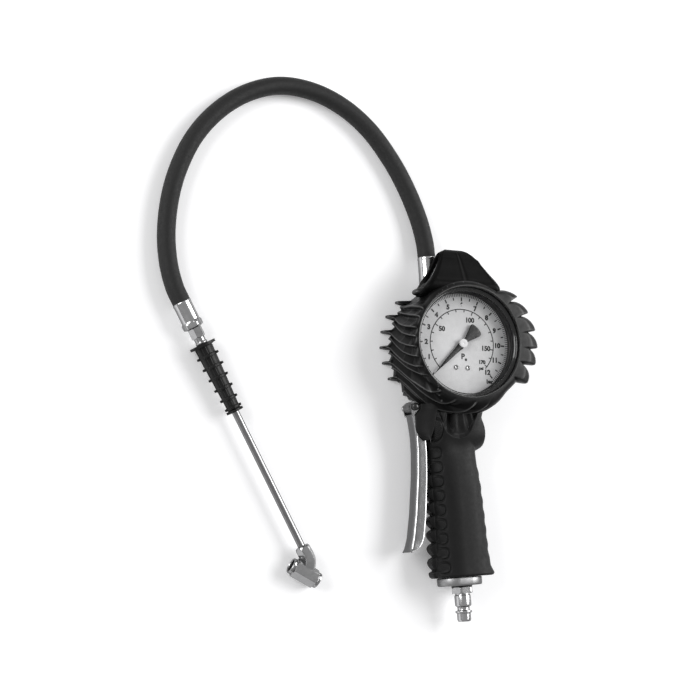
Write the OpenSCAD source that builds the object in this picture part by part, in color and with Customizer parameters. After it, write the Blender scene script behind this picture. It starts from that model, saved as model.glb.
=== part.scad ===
// Hand-held tyre inflator, lying on its back: the dial faces +Z, the handle runs along -Y,
// the lever is on the -X side, and the hose loops on the floor at -X to the lance.
// The origin is on the floor under the handle axis, level with the centre of the gauge.

/* [Gauge] */
// Sideways offset of the gauge centre from the handle axis
gauge_x = 10; // [6:1:12]
// Clockwise turn of the gauge on its screwed stem, degrees
gauge_clock = 4; // [2:0.5:5]
// Radius of the dial
dial_r = 37; // [36.5:0.1:37.2]
// Height of the dial face above the floor
dial_z = 25.6; // [25.6:0.1:26]
// Full swing of the pointer, degrees
pointer_swing = 270; // [240:5:270]

/* [Rubber boot] */
// Depth of the boot, from its back to its front lip
boot_depth = 40; // [40:0.5:42]
// Outer radius of the boot without its fins
boot_r = 44; // [43.5:0.5:45]
// Radius of the boot to the tips of its fins
fin_tip_r = 54.5; // [52:0.5:56]
// Thickness of a fin
fin_t = 2.8; // [2.4:0.1:3]
// Height of the hanging eye's top above the gauge centre
hump_top = 68; // [67:0.5:70]
// Sideways offset of the hanging eye from the dial's upright
hump_x = -5; // [-6:0.5:-3]
// Length of the hanging eye along the handle
eye_long = 17; // [14:0.5:18]
// Depth of the hanging eye, front to back
eye_deep = 9; // [8:0.5:10]

/* [Handle] */
// Height of the handle axis above the floor
axis_z = 16; // [16:0.5:16.5]
// Distance from the gauge centre to the bottom of the grip
grip_end = 166.5; // [164:0.5:170]
// Outer radius of the cast core tube
core_r = 9; // [8.5:0.1:9]
// Radius of the air bore in the core tube
air_bore_r = 4; // [3:0.1:4.5]

/* [Lever] */
// Length of the lever from its pivot to its flared tip
lever_len = 103; // [100:1:105]
// Lean of the lever away from the handle, degrees
lever_lean = 4; // [3:0.5:4.5]
// Outer width of the pressed channel
lever_w = 14; // [13.6:0.2:15]
// Thickness of the lever's sheet
sheet = 1.2; // [1:0.1:1.3]
// Depth of the channel's flanges
flange_d = 7; // [6:0.5:7]

/* [Inlet plug] */
// Radius of the plug's tip
plug_tip_r = 5; // [4.8:0.1:5.2]
// Radius of the plug's collar
plug_collar_r = 6; // [5.8:0.1:6.2]
// Width across the flats of the plug's hexagon
plug_hex = 14; // [13:0.5:15]

/* [Hose and lance] */
// Outer radius of the hose
hose_r = 6.5; // [6:0.1:6.7]
// Turn of the lance from the handle's direction, degrees
lance_angle = 24; // [20:1:28]
// Height of the lance axis above the floor
lance_z = 8.6; // [8.6:0.1:9]
// Outer radius of the lance tube
tube_r = 2.6; // [2.4:0.1:3]
// Radius of the two mouths that go over a tyre valve
mouth_r = 4.1; // [4:0.05:4.2]
// Turn of the chuck's barrel from the X axis, degrees
chuck_angle = 32; // [28:1:36]

/* [Hidden] */

e = 0.01;             // small overlap that keeps cuts clean
run = 0.05;           // radial clearance of running fits
soft_gap = 0.3;       // gap between rubber and what it covers

// Heights inside the boot, from the back
duct_z = 8.5;
duct_r = 6;
duct_bore_r = 3;
outlet_x = -5;
outlet_y = 43;
back_wall = 2.2;
case_z0 = 15;
case_r = 39.5;
stem_z = 20.5;
boot_in_r = 40.6;
lip_r = 39.8;
bezel_z0 = 33;
bezel_z1 = 36.6;
// Directions of the fins round the gauge, degrees, and their lean to the front
spine_fins = [44, 26, 11, -4, -19, -35];
lever_fins = [127, 142, 155, 168, 180, 192, 205, 221];
fin_lean = 22;
// Chin under the gauge, in the gauge's frame
chin_z0 = 2;
chin = [[-25, -37], [-16, -46], [-8, -48.2], [12, -48.2], [20, -46], [28, -36]];
hump_z0 = 15.9;
hump_z1 = 30;

// Valve, on a cross axis below the gauge
valve_y = -64;
valve_block_r = 9.6;
block_left = -20;
block_right = 16;
chamber_r = 5;
chamber_x = -4.7;
stem_r = 2;
disc_x = -3.5;        // where the valve's disc starts, behind its seal
stem_rise = 0.25;     // gap between the stem's end and the lever at rest

// Lever pivot
pivot_x = -29.5;
pivot_y = -44;
pin_r = 1.5;
web_x = -3.4;         // outer face of the lever's web, from its pivot
web_top_y = -5.5;     // where the web starts, below the lug
tip_bend_y = 14 - lever_len;
tip_flare = 14;       // outward turn of the lever's tip, degrees
lug_half = 4.4;
lug_turn = 42;        // direction of the lug, from +X towards the handle

// Gear train of the gauge
gear_mod = 0.5;
pinion_teeth = 10;
sector_teeth = 60;
pinion_pr = gear_mod * pinion_teeth / 2;
sector_pr = gear_mod * sector_teeth / 2;
sector_dir = 60;      // direction from the sector's pivot to the staff
sector_px = -(pinion_pr + sector_pr) * cos(sector_dir);
sector_py = -(pinion_pr + sector_pr) * sin(sector_dir);
staff_r = 0.8;
sector_shaft_r = 0.9;
tail_r = 7;
tail_dir = -30;
tail_x = sector_px + tail_r * cos(tail_dir);
tail_y = sector_py + tail_r * sin(tail_dir);
rear_plate_z = 16.8;
front_plate_z = 22.6;
plate_t = 0.8;
bourdon_r = 30;
tip_dir = -26;
tip_x = bourdon_r * cos(tip_dir);
tip_y = bourdon_r * sin(tip_dir);
link_z = 21;

// Lance, measured along its axis from the mouth of the lower ferrule
lance_x0 = -193.5;
lance_y0 = 34.5;
ferrule_len = 20;
nut_s = 20;
nut_len = 12;
lgrip_s = 32;
lgrip_len = 52;
tube_s = 30;
tube_end_s = 196;

// Chuck, at the far end of the lance
chuck_x = -115.5;
chuck_y = -156;
chuck_z = 7;
chuck_half = 11.5;
chuck_hex = 12;
seat_depth = 6;

// Points of the hose, by hand, from the upper ferrule to the lower one
hose_route = [
  [-5, 66, 8.5], [-5.5, 78, 8], [-8.5, 95, 7], [-16, 117, 6.6], [-27, 139, 6.5],
  [-43, 161.5, 6.5], [-63, 178.5, 6.5], [-86, 189, 6.5], [-111, 192, 6.5], [-136, 185.5, 6.5],
  [-158, 172, 6.5], [-176, 153.5, 6.5], [-189, 131, 6.5], [-197, 108, 6.5], [-201, 84, 6.6],
  [-201, 63, 7.4], [-198, 46, 8.3], [-193.5, 34.5, 8.6]
];
hose_sides = 12;

$fn = 64;

// ---------- frames and small helpers ----------

// Frame of the gauge: origin at its centre, +Z out of the dial, +Y to the top of the dial
module at_gauge(z = 0) {
  translate([gauge_x, 0, z]) rotate([0, 0, -gauge_clock]) children();
}

// Frame along the handle: +Z points down the handle, towards the plug
module down_handle(y, x = 0, z = axis_z) {
  translate([x, y, z]) rotate([90, 0, 0]) children();
}

// Frame along the valve: +Z points to the spine side
module across_valve(x) {
  translate([x, valve_y, axis_z]) rotate([0, 90, 0]) children();
}

// Frame along the lance: +Z points to the chuck
module along_lance(s) {
  translate([lance_x0, lance_y0, lance_z]) rotate([0, 0, lance_angle]) rotate([90, 0, 0])
    translate([0, 0, s]) children();
}

// Frame along the chuck's barrel: +Z points to its right mouth
module along_chuck(s = 0) {
  translate([chuck_x, chuck_y, chuck_z]) rotate([0, 0, -chuck_angle]) rotate([0, 90, 0])
    translate([0, 0, s]) children();
}

module ring(r_out, r_in, h) {
  difference() {
    cylinder(r = r_out, h = h);
    translate([0, 0, -e]) cylinder(r = r_in, h = h + 2 * e);
  }
}

// Hexagonal prism across its flats
module hex(af, h) {
  cylinder(r = af / sqrt(3), h = h, $fn = 6);
}

// Stack of rings that stands in for a coil spring
module coil(r, wire_r, turns, length) {
  for (i = [0 : turns - 1])
    translate([0, 0, wire_r + i * (length - 2 * wire_r) / (turns - 1)])
      rotate_extrude($fn = 24) translate([r, 0]) circle(r = wire_r, $fn = 16);
}

// Straight-sided gear teeth around the origin, from angle a0, count n
module teeth(count, mod, h, a0, n) {
  pr = count * mod / 2;
  root = pr - 1.2 * mod;
  tip = pr + 0.85 * mod;
  base_half = 0.34 * mod * PI / 2;
  tip_half = 0.14 * mod * PI / 2;
  for (i = [0 : n - 1])
    rotate([0, 0, a0 + i * 360 / count])
      linear_extrude(h)
        polygon([[root - 0.6, -base_half], [root - 0.6, base_half],
                 [pr, base_half], [tip, tip_half], [tip, -tip_half], [pr, -base_half]]);
}

// ---------- handle ----------

module body_casting() {
  color("silver") difference() {
    union() {
      down_handle(valve_y) cylinder(r = core_r, h = grip_end + valve_y);
      across_valve(block_left) cylinder(r = valve_block_r, h = block_right - block_left);
      gauge_boss();
      duct();
      pivot_lug();
    }
    // air bore with the plug's threaded seat at its end
    down_handle(valve_y) cylinder(r = air_bore_r, h = grip_end + valve_y + 10);
    down_handle(-grip_end + 8) cylinder(r = 6.6, h = 20);
    // valve chamber, seat and guide
    across_valve(chamber_x) cylinder(r = chamber_r, h = 40);
    across_valve(-12) cylinder(r = 2.8, h = 10);
    across_valve(-30) cylinder(r = 4.05, h = 18.5);
    across_valve(-13) cylinder(r = stem_r + run, h = 4);
    // gauge socket seat and its port
    at_gauge(stem_z) rotate([90, 0, 0]) translate([0, 0, 44]) cylinder(r = 6.55, h = 13.5);
    at_gauge(stem_z - 2) rotate([90, 0, 0]) translate([0, 0, 50]) cylinder(r = 1.6, h = 14);
    // duct to the hose, from the seat side of the valve
    translate([outlet_x - 2.2, valve_y, duct_z - 0.7]) cylinder(r = 1.6, h = axis_z - duct_z + 0.7);
    translate([outlet_x - 0.8, valve_y - 3, duct_z]) rotate([-90, 0, 0]) cylinder(r = 1.8, h = 17);
    translate([outlet_x, valve_y + 12, duct_z]) rotate([-90, 0, 0]) cylinder(r = duct_bore_r, h = 120);
    translate([outlet_x, outlet_y - 9, duct_z]) rotate([-90, 0, 0]) cylinder(r = 4.55, h = 20);
    // hole for the lever's pin
    translate([pivot_x, pivot_y, axis_z - 10]) cylinder(r = pin_r + run, h = 20);
  }
}

// Oval cap under the grip, clamped by the inlet plug
module end_cap() {
  color("silver") difference() {
    for (side = [-1, 1]) intersection() {
      down_handle(-grip_end, -1.5 + side * 4) cylinder(r = 12.5, h = 6);
      translate([side > 0 ? -1.5 - e : -41.5, -grip_end - 7, 0]) cube([40, 8, 40]);
    }
    down_handle(-grip_end + 1) cylinder(r = 6.6, h = 10);
  }
}

// Boss that the gauge's stem screws into
module gauge_boss() {
  at_gauge(stem_z) rotate([90, 0, 0]) translate([0, 0, 48]) cylinder(r = 8.8, h = 14);
}

// Rear duct, from the valve block behind the gauge to the hose outlet
module duct() {
  translate([outlet_x, valve_y + 4, duct_z]) rotate([-90, 0, 0])
    cylinder(r = duct_r, h = outlet_y - valve_y - 4);
  translate([outlet_x - 8, valve_y - 6, duct_z - 4]) cube([13, 22, 11]);
}

// Lug that carries the lever's pivot
module pivot_lug() {
  translate([pivot_x, pivot_y, axis_z - lug_half]) cylinder(r = 4, h = 2 * lug_half);
  translate([pivot_x, pivot_y, axis_z - lug_half]) rotate([0, 0, -lug_turn])
    translate([1.8, -3.4, 0]) cube([20.2, 6.8, 2 * lug_half]);
}

module inlet_plug() {
  color("gainsboro") difference() {
    union() {
      down_handle(-grip_end + 4) cylinder(r = 6.5, h = 11);
      down_handle(-grip_end - 7) hex(plug_hex, 4.5);
      down_handle(-grip_end - 11.5 + e) cylinder(r = 5.4, h = 2);
      down_handle(-grip_end - 12.5) cylinder(r = 5.9, h = 8);
      down_handle(-grip_end - 20) cylinder(r = 4.4, h = 5);
      down_handle(-grip_end - 23.5) cylinder(r = plug_collar_r, h = 1.8);
      down_handle(-grip_end - 25) cylinder(r = plug_tip_r, h = 6.5);
    }
    down_handle(-grip_end + 5) cylinder(r = 3, h = 60);
  }
}

module plug_seal() {
  color("dimgray") down_handle(-grip_end - 6) ring(7.4, 6.6, 1);
}

// One slice of the grip's rounded outline, used as a hull child
module grip_slice(y, left, right, deep, r = 9) {
  for (x = [left + r, right - r])
    for (z = [axis_z - deep / 2 + r, axis_z + deep / 2 - r])
      translate([x, y, z]) rotate([90, 0, 0]) cylinder(r = r, h = 1, center = true, $fn = 32);
}

module grip_sleeve() {
  color("#2b2b2b") difference() {
    union() {
      hull() {
        grip_slice(-51, -15, 19, 30);
        grip_slice(-76, -19, 17, 29);
      }
      hull() {
        grip_slice(-76, -19, 17, 29);
        grip_slice(-97, -20, 17.5, 28);
      }
      hull() {
        grip_slice(-97, -22.3, 17.5, 28);
        grip_slice(-150, -23, 20.5, 29);
      }
      hull() {
        grip_slice(-150, -23, 20.5, 29);
        grip_slice(-grip_end + 0.7, -22.5, 24, 32);
      }
      across_valve(8) cylinder(r = 11.8, h = 14.5);
    }
    down_handle(-50) cylinder(r = core_r + soft_gap, h = 130);
    across_valve(-40) cylinder(r = valve_block_r + soft_gap, h = 60.5);
    at_gauge(stem_z) rotate([90, 0, 0]) translate([0, 0, 40]) cylinder(r = 9.3, h = 25);
    translate([outlet_x, valve_y, duct_z]) rotate([-90, 0, 0]) cylinder(r = duct_r + soft_gap, h = 60);
    translate([outlet_x - 8.3, valve_y - 8, duct_z - 4.3]) cube([13.6, 40, 16]);
    translate([pivot_x, pivot_y, axis_z - lug_half - soft_gap]) rotate([0, 0, -lug_turn])
      translate([-5, -4.3, 0]) cube([34, 8.6, 2 * (lug_half + soft_gap)]);
  }
}

// ---------- rubber boot ----------

// Outline of the hump that holds the hanging eye, as half-widths at heights, mirrored
function hump_half() =
  [[9, hump_top], [14, hump_top - 5], [16.5, hump_top - 12], [20, 47], [28, 36], [30, 24]];

module hump_outline() {
  half = hump_half();
  mirrored = [for (i = [len(half) - 1 : -1 : 0]) [-half[i][0], half[i][1]]];
  translate([hump_x, 0]) polygon(concat(half, mirrored));
}

module gauge_boot() {
  color("#262626") difference() {
    at_gauge() {
      difference() {
        union() {
          cylinder(r = boot_r, h = boot_depth - 3, $fn = 96);
          translate([0, 0, boot_depth - 3]) cylinder(r1 = boot_r, r2 = boot_r - 2, h = 3, $fn = 96);
          translate([0, 0, hump_z0]) linear_extrude(hump_z1 - hump_z0) hump_outline();
          for (a = spine_fins) fin(a);
          for (a = lever_fins) fin(a);
          translate([0, 0, chin_z0]) linear_extrude(boot_depth - 4 - chin_z0) polygon(chin);
        }
        translate([0, 0, back_wall]) cylinder(r = boot_in_r, h = bezel_z1 + 0.6 - back_wall, $fn = 96);
        cylinder(r = lip_r, h = 2 * boot_depth, $fn = 96);
        eye_tunnel();
      }
      cylinder(r = boot_in_r + 1, h = back_wall, $fn = 96);
    }
    // ways through for the gauge's stem and for the duct
    at_gauge(stem_z) rotate([90, 0, 0]) translate([0, 0, 30]) cylinder(r = 9.3, h = 40);
    translate([outlet_x, -70, duct_z]) rotate([-90, 0, 0]) cylinder(r = duct_r + soft_gap, h = 160);
    translate([outlet_x, outlet_y - 1.5, duct_z]) rotate([-90, 0, 0]) cylinder(r = 7.3, h = 40);
  }
}

// One rubber fin, leaning round the boot from its back to its front
module fin(a) {
  rotate([0, 0, a]) translate([boot_in_r + 1, 0, 1]) rotate([-fin_lean, 0, 0])
    translate([0, -fin_t / 2, 0]) cube([fin_tip_r - boot_in_r - 1.3, fin_t, boot_depth - 5]);
}

// Hanging eye: an oval tunnel from side to side through the hump
module eye_tunnel() {
  mid = hump_top - 5.5 - eye_long / 2;
  translate([-60, mid, (hump_z0 + hump_z1) / 2]) rotate([0, 90, 0]) linear_extrude(120) union() {
    square([eye_deep - 4, eye_long], center = true);
    square([eye_deep, eye_long - 4], center = true);
    for (u = [-1, 1], v = [-1, 1])
      translate([u * (eye_deep / 2 - 2), v * (eye_long / 2 - 2)]) circle(r = 2);
  }
}

// ---------- lever and valve ----------

// Frame of the lever: origin at its pivot, -Y down the lever
module at_lever() {
  translate([pivot_x, pivot_y, axis_z]) rotate([0, 0, -lever_lean]) children();
}

module lever() {
  color("lightgray") at_lever() difference() {
    union() {
      // web, with its flared tip
      translate([web_x, tip_bend_y, -lever_w / 2]) cube([sheet, web_top_y - tip_bend_y, lever_w]);
      translate([web_x, tip_bend_y, -lever_w / 2]) rotate([0, 0, -tip_flare]) translate([0, -12.5, 0])
        cube([sheet, 13, lever_w]);
      for (side = [-1, 1]) flange(side);
    }
    translate([0, 0, -20]) cylinder(r = pin_r + run, h = 40);
  }
}

// One flange of the channel, with its ear round the pin
module flange(side) {
  z0 = side > 0 ? lever_w / 2 - sheet : -lever_w / 2;
  translate([0, 0, z0]) linear_extrude(sheet) {
    circle(r = 3.4);
    polygon([[web_x, 0], [-2.4, 2.4], [1, 3], [3.2, -1], [web_x + flange_d - 2, -20],
             [web_x + flange_d, -34], [web_x + flange_d, tip_bend_y], [web_x + flange_d - 3, tip_bend_y - 4],
             [web_x, tip_bend_y - 6]]);
  }
}

module lever_pin() {
  color("silver") translate([pivot_x, pivot_y, 0]) {
    translate([0, 0, axis_z - lever_w / 2 - 2]) cylinder(r = pin_r, h = lever_w + 4);
    translate([0, 0, axis_z + lever_w / 2 + 0.3]) cylinder(r = 2.6, h = 2.2);
  }
}

module pin_clip() {
  color("dimgray") translate([pivot_x, pivot_y, axis_z - lever_w / 2 - 1.1]) ring(3, pin_r, 0.8);
}

// Torsion spring round the pin, between the lug and the lever's flange
module lever_spring() {
  color("silver") translate([pivot_x, pivot_y, axis_z - lug_half - 1.25]) coil(2.4, 0.3, 2, 1.2);
}

module valve_stem() {
  tip_x = lever_inner_x(valve_y) + stem_rise;
  color("goldenrod") {
    across_valve(tip_x + 0.6) cylinder(r = stem_r, h = disc_x - tip_x - 0.5);
    across_valve(tip_x) cylinder(r1 = 1.2, r2 = stem_r, h = 0.6);
    across_valve(disc_x) cylinder(r = 4.4, h = 1.6);
    across_valve(disc_x + 1.5) cylinder(r = 1.6, h = 7);
  }
}

// Inner face of the lever's web at a given height along the handle, at rest
function lever_inner_x(y) = pivot_x + (web_x + sheet) / cos(lever_lean) + (y - pivot_y) * tan(lever_lean);

module stem_seal() {
  color("#222222") across_valve(chamber_x + run) ring(4.3, stem_r, disc_x - chamber_x - run);
}

// Gland that guides the stem and seals it
module stem_gland() {
  color("goldenrod") {
    across_valve(block_left - 2) ring(5.5, stem_r + run, 2);
    across_valve(block_left) ring(4, stem_r + run, 7);
  }
}

module valve_spring() {
  color("silver") across_valve(disc_x + 1.7) coil(3.2, 0.35, 6, 11.9);
}

module valve_cap() {
  color("goldenrod") {
    across_valve(block_right + 1) hex(14, 3.5);
    across_valve(block_right - 5.8) ring(chamber_r - 0.03, 2, 6.9);
  }
}

module cap_seal() {
  color("#222222") across_valve(block_right) ring(8, chamber_r, 1);
}

// ---------- gauge ----------

module gauge_case() {
  color("#3a3a3a") at_gauge(case_z0) difference() {
    cylinder(r = case_r, h = bezel_z0 - case_z0, $fn = 96);
    translate([0, 0, 1]) cylinder(r = case_r - 1, h = 40, $fn = 96);
    translate([0, 0, stem_z - case_z0]) rotate([90, 0, 0]) translate([0, 0, 30]) cylinder(r = 5.6, h = 20);
  }
}

// Brass socket: the block that carries the movement, and the screwed stem below it
module gauge_socket() {
  color("goldenrod") at_gauge(stem_z) difference() {
    union() {
      rotate([90, 0, 0]) translate([0, 0, 40]) cylinder(r = 6.5, h = 16.5);
      rotate([90, 0, 0]) translate([0, 0, 37.6]) cylinder(r = 5.5, h = 4);
      rotate([90, 0, 0]) translate([0, 0, 34]) cylinder(r = 4.3, h = 5);
      translate([-11, -36, rear_plate_z + plate_t - stem_z]) cube([18, 9, 5]);
    }
    rotate([90, 0, 0]) translate([0, 0, 38]) cylinder(r = 1.6, h = 30);
    // screws of the movement
    for (x = plate_screw_xs()) translate([x, -30, -10]) cylinder(r = 1, h = 20, $fn = 24);
  }
}

module gauge_bezel() {
  color("#303030") at_gauge() difference() {
    union() {
      translate([0, 0, bezel_z0]) cylinder(r = 40.3, h = bezel_z1 - bezel_z0, $fn = 96);
      translate([0, 0, bezel_z0 - 5]) ring(40.3, case_r + 0.1, 5 + e);
    }
    translate([0, 0, bezel_z0 - e]) cylinder(r = 38.1, h = 1.6, $fn = 96);
    cylinder(r = 37.1, h = 60, $fn = 96);
    translate([0, 0, bezel_z0 + 2.4]) cylinder(r1 = 37.1, r2 = 38.6, h = 1.3, $fn = 96);
  }
}

module gauge_lens() {
  color([0.8, 0.9, 0.95, 0.4]) at_gauge(bezel_z0) cylinder(r = 38, h = 1.5, $fn = 96);
}

module lens_gasket() {
  color("#222222") at_gauge(bezel_z0 - 0.8) ring(38.3, 37.1, 0.8);
}

module dial() {
  color("white") at_gauge(dial_z - 0.6) difference() {
    cylinder(r = dial_r, h = 0.6, $fn = 96);
    translate([0, 0, -1]) cylinder(r = 2.5, h = 3);
    for (x = screw_xs()) translate([x, -17.3, -1]) cylinder(r = 1.05, h = 3, $fn = 24);
  }
}

// Sideways places of the dial's two screws
function screw_xs() = [-4.6, 4.6];

// Sideways places of the screws that hold the movement to the socket
function plate_screw_xs() = [-1.5, 4];

module dial_screws() {
  color("silver") at_gauge(dial_z) for (x = screw_xs()) translate([x, -17.3, 0]) {
    cylinder(r = 1.7, h = 0.8, $fn = 32);
    translate([0, 0, -2.2]) cylinder(r = 1, h = 2.3, $fn = 24);
  }
}

// Pointer at rest on zero: it points to 225 degrees, and its tail is a fan
module pointer() {
  color("#111111") at_gauge(dial_z + 1.9) difference() {
    union() {
      cylinder(r = 3.2, h = 1.6);
      rotate([0, 0, -pointer_swing / 2]) linear_extrude(0.6) {
        polygon([[0, -2.2], [0, 2.2], [18, 1.3], [32, 0.15], [32, -0.15], [18, -1.3]]);
        polygon([[0, -2], [0, 2], [-13.4, 5.6], [-15.6, 3], [-16.3, 0], [-15.6, -3], [-13.4, -5.6]]);
      }
    }
    translate([0, 0, -1]) cylinder(r = staff_r, h = 2.2, $fn = 32);
  }
}

module movement_plates() {
  color("goldenrod") at_gauge() difference() {
    union() {
      for (z = [rear_plate_z, front_plate_z]) translate([0, 0, z]) linear_extrude(plate_t) {
        circle(r = 11);
        translate([-21, -24]) square([31, 18]);
        translate([-11, -34]) square([18, 12]);
      }
      for (p = [[7, -22.5], [-17, -19.5], [0, 8.5]])
        translate([p[0], p[1], rear_plate_z + e])
          cylinder(r = 1.5, h = front_plate_z - rear_plate_z, $fn = 24);
      for (x = screw_xs()) translate([x, -17.3, front_plate_z + e])
        cylinder(r = 2, h = dial_z - 0.6 - front_plate_z - e, $fn = 24);
    }
    translate([0, 0, 10]) cylinder(r = staff_r + run, h = 20, $fn = 32);
    translate([sector_px, sector_py, 10]) cylinder(r = sector_shaft_r + run, h = 20, $fn = 32);
    for (x = screw_xs()) translate([x, -17.3, dial_z - 2.2]) cylinder(r = 1.05, h = 6, $fn = 24);
    for (x = plate_screw_xs()) translate([x, -30, 10]) cylinder(r = 1.05, h = 20, $fn = 24);
  }
}

module plate_screws() {
  color("silver") at_gauge() for (x = plate_screw_xs()) translate([x, -30, 0]) {
    translate([0, 0, rear_plate_z + 0.2]) cylinder(r = 1, h = 6.4, $fn = 24);
    translate([0, 0, front_plate_z + plate_t]) cylinder(r = 1.8, h = 1, $fn = 24);
  }
}

module pinion() {
  a0 = sector_dir + 180 + 180 / pinion_teeth;
  color("goldenrod") at_gauge() {
    translate([0, 0, rear_plate_z + 0.1]) cylinder(r = staff_r, h = dial_z + 3 - rear_plate_z, $fn = 32);
    translate([0, 0, 18.4]) cylinder(r = pinion_pr - 1.2 * gear_mod, h = 2.6, $fn = 32);
    translate([0, 0, 18.6]) teeth(pinion_teeth, gear_mod, 2.2, a0, pinion_teeth);
  }
}

module sector_gear() {
  first = sector_dir - 9 * 360 / sector_teeth;
  rim = sector_pr - 1.2 * gear_mod;
  color("goldenrod") at_gauge() translate([sector_px, sector_py, 0]) {
    translate([0, 0, rear_plate_z + 0.1]) cylinder(r = sector_shaft_r, h = 6.4, $fn = 32);
    translate([0, 0, 18.8]) cylinder(r = 2.4, h = 1.8, $fn = 32);
    translate([0, 0, 19]) linear_extrude(1.4) {
      difference() {
        intersection() {
          circle(r = rim);
          polygon([[0, 0], [24 * cos(first - 4), 24 * sin(first - 4)], [24 * cos(39), 24 * sin(39)],
                   [24 * cos(sector_dir + 16), 24 * sin(sector_dir + 16)]]);
        }
        difference() {
          circle(r = rim - 2.6);
          for (a = [first, sector_dir + 11]) rotate([0, 0, a]) translate([0, -1.3]) square([20, 2.6]);
        }
      }
      rotate([0, 0, tail_dir]) translate([0, -1.2]) square([tail_r, 2.4]);
      rotate([0, 0, tail_dir]) translate([tail_r, 0]) circle(r = 1.6, $fn = 32);
    }
    translate([0, 0, 19]) teeth(sector_teeth, gear_mod, 1.4, first, 12);
    rotate([0, 0, tail_dir]) translate([tail_r, 0, 19]) cylinder(r = 0.7, h = 3, $fn = 24);
  }
}

// Link from the sector's tail to the tip of the Bourdon tube
module link() {
  span = [tip_x - tail_x, tip_y - tail_y];
  long = norm(span) - 3.4;
  color("silver") at_gauge(link_z) translate([tail_x, tail_y, 0])
    rotate([0, 0, atan2(span[1], span[0])]) linear_extrude(0.7) difference() {
      union() {
        circle(r = 1.5, $fn = 32);
        translate([0, -0.8]) square([long, 1.6]);
      }
      circle(r = 0.7 + run, $fn = 24);
    }
}

// Flattened C tube that opens under pressure; its root is soldered to the socket
module bourdon_tube() {
  color("goldenrod") at_gauge(17.8) {
    rotate([0, 0, -100]) mirror([0, 1, 0]) rotate_extrude(angle = 260 - tip_dir - 1)
      translate([bourdon_r, 2.3]) square([2.4, 4.4], center = true);
    rotate([0, 0, tip_dir]) translate([bourdon_r - 1.8, -1.4, -0.1]) cube([3.4, 2.8, 4.8]);
  }
}

// ---------- hose ----------

module outlet_fitting() {
  color("goldenrod") translate([outlet_x, outlet_y, duct_z]) rotate([-90, 0, 0]) difference() {
    union() {
      translate([0, 0, -8]) cylinder(r = 4.5, h = 9);
      hex(12, 3);
      cylinder(r = 3.9, h = 20);
    }
    translate([0, 0, -10]) cylinder(r = 2.5, h = 40);
  }
}

// Crimped sleeve, open at the hose end
module upper_ferrule() {
  color("white") translate([outlet_x, outlet_y + 3, duct_z]) rotate([-90, 0, 0]) {
    difference() {
      cylinder(r = 6.9, h = 20);
      translate([0, 0, -e]) cylinder(r = 4, h = 40);
    }
  }
}

// Sweep of a round section along a list of points
function unit(v) = v / norm(v);
function tangent(p, i) =
  i == 0 ? unit(p[1] - p[0]) :
  i == len(p) - 1 ? unit(p[i] - p[i - 1]) :
  unit(unit(p[i + 1] - p[i]) + unit(p[i] - p[i - 1]));
function side_of(t) = unit(cross([0, 0, 1], t));
function sweep_points(p, r, n) = [
  for (i = [0 : len(p) - 1])
    let (t = tangent(p, i), s = side_of(t), u = cross(t, s))
      for (k = [0 : n - 1]) p[i] + r * (cos(360 * k / n) * s + sin(360 * k / n) * u)
];
function sweep_faces(count, n) = concat(
  [[for (k = [0 : n - 1]) k]],
  [for (i = [0 : count - 2]) for (k = [0 : n - 1])
    [i * n + k, (i + 1) * n + k, (i + 1) * n + (k + 1) % n, i * n + (k + 1) % n]],
  [[for (k = [n - 1 : -1 : 0]) (count - 1) * n + k]]
);

module hose() {
  color("#1e1e1e")
    polyhedron(points = sweep_points(hose_route, hose_r, hose_sides),
               faces = sweep_faces(len(hose_route), hose_sides));
}

module lower_ferrule() {
  color("gainsboro") along_lance(0.1) difference() {
    union() {
      cylinder(r = 6.8, h = ferrule_len - 3.5);
      translate([0, 0, ferrule_len - 3.5]) cylinder(r1 = 6.8, r2 = 5.4, h = 3.4);
    }
    translate([0, 0, -e]) cylinder(r = 4, h = 40);
  }
}

// ---------- lance ----------

// Hexagon nut with the nipple that goes into the hose
module lance_nut() {
  color("silver") along_lance(0) difference() {
    union() {
      translate([0, 0, 2]) cylinder(r = 3.9, h = nut_s);
      translate([0, 0, nut_s]) hex(9, 7);
      translate([0, 0, nut_s + 7]) cylinder(r = 4, h = nut_len - 7);
    }
    cylinder(r = 2, h = nut_s + 5);
    translate([0, 0, tube_s - 4]) cylinder(r = tube_r + 0.02, h = 20);
  }
}

module lance_grip() {
  color("#232323") along_lance(lgrip_s) difference() {
    union() {
      cylinder(r1 = 6.8, r2 = 5, h = lgrip_len);
      for (i = [0 : 6]) {
        r = 8.3 - i * 0.3;
        at = i == 6 ? lgrip_len - 1.8 : i * 8;
        translate([0, 0, at]) cylinder(r = r, h = 1.8);
      }
    }
    translate([0, 0, -e]) cylinder(r = tube_r + 0.02, h = lgrip_len + 1);
  }
}

module lance_tube() {
  color("gainsboro") along_lance(tube_s - 3.9) ring(tube_r, 1.6, tube_end_s - tube_s + 3.9);
}

module chuck_head() {
  color("gainsboro") difference() {
    union() {
      along_chuck(-chuck_half + 2.5) hex(chuck_hex, 2 * chuck_half - 5);
      along_chuck(-chuck_half) cylinder(r = 6, h = 2 * chuck_half);
      along_lance(tube_end_s - 8) cylinder(r = 4.2, h = 18);
      along_lance(tube_end_s - 2) hex(9.5, 7);
    }
    along_lance(tube_end_s - 10) cylinder(r = tube_r + 0.02, h = 10);
    along_lance(tube_end_s - 2) cylinder(r = 1.5, h = 14);
    along_chuck(-chuck_half - 1) cylinder(r = mouth_r, h = seat_depth + 1);
    along_chuck(chuck_half - seat_depth) cylinder(r = mouth_r, h = seat_depth + 1);
    along_chuck(-chuck_half + 1) cylinder(r = 3.2, h = 2 * chuck_half - 2);
  }
}

// Rubber ring at the bottom of each mouth
module chuck_seals() {
  color("#1a1a1a") for (s = [-chuck_half + seat_depth, chuck_half - seat_depth - 1.4])
    along_chuck(s) ring(3.18, 1.6, 1.4);
}

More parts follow.
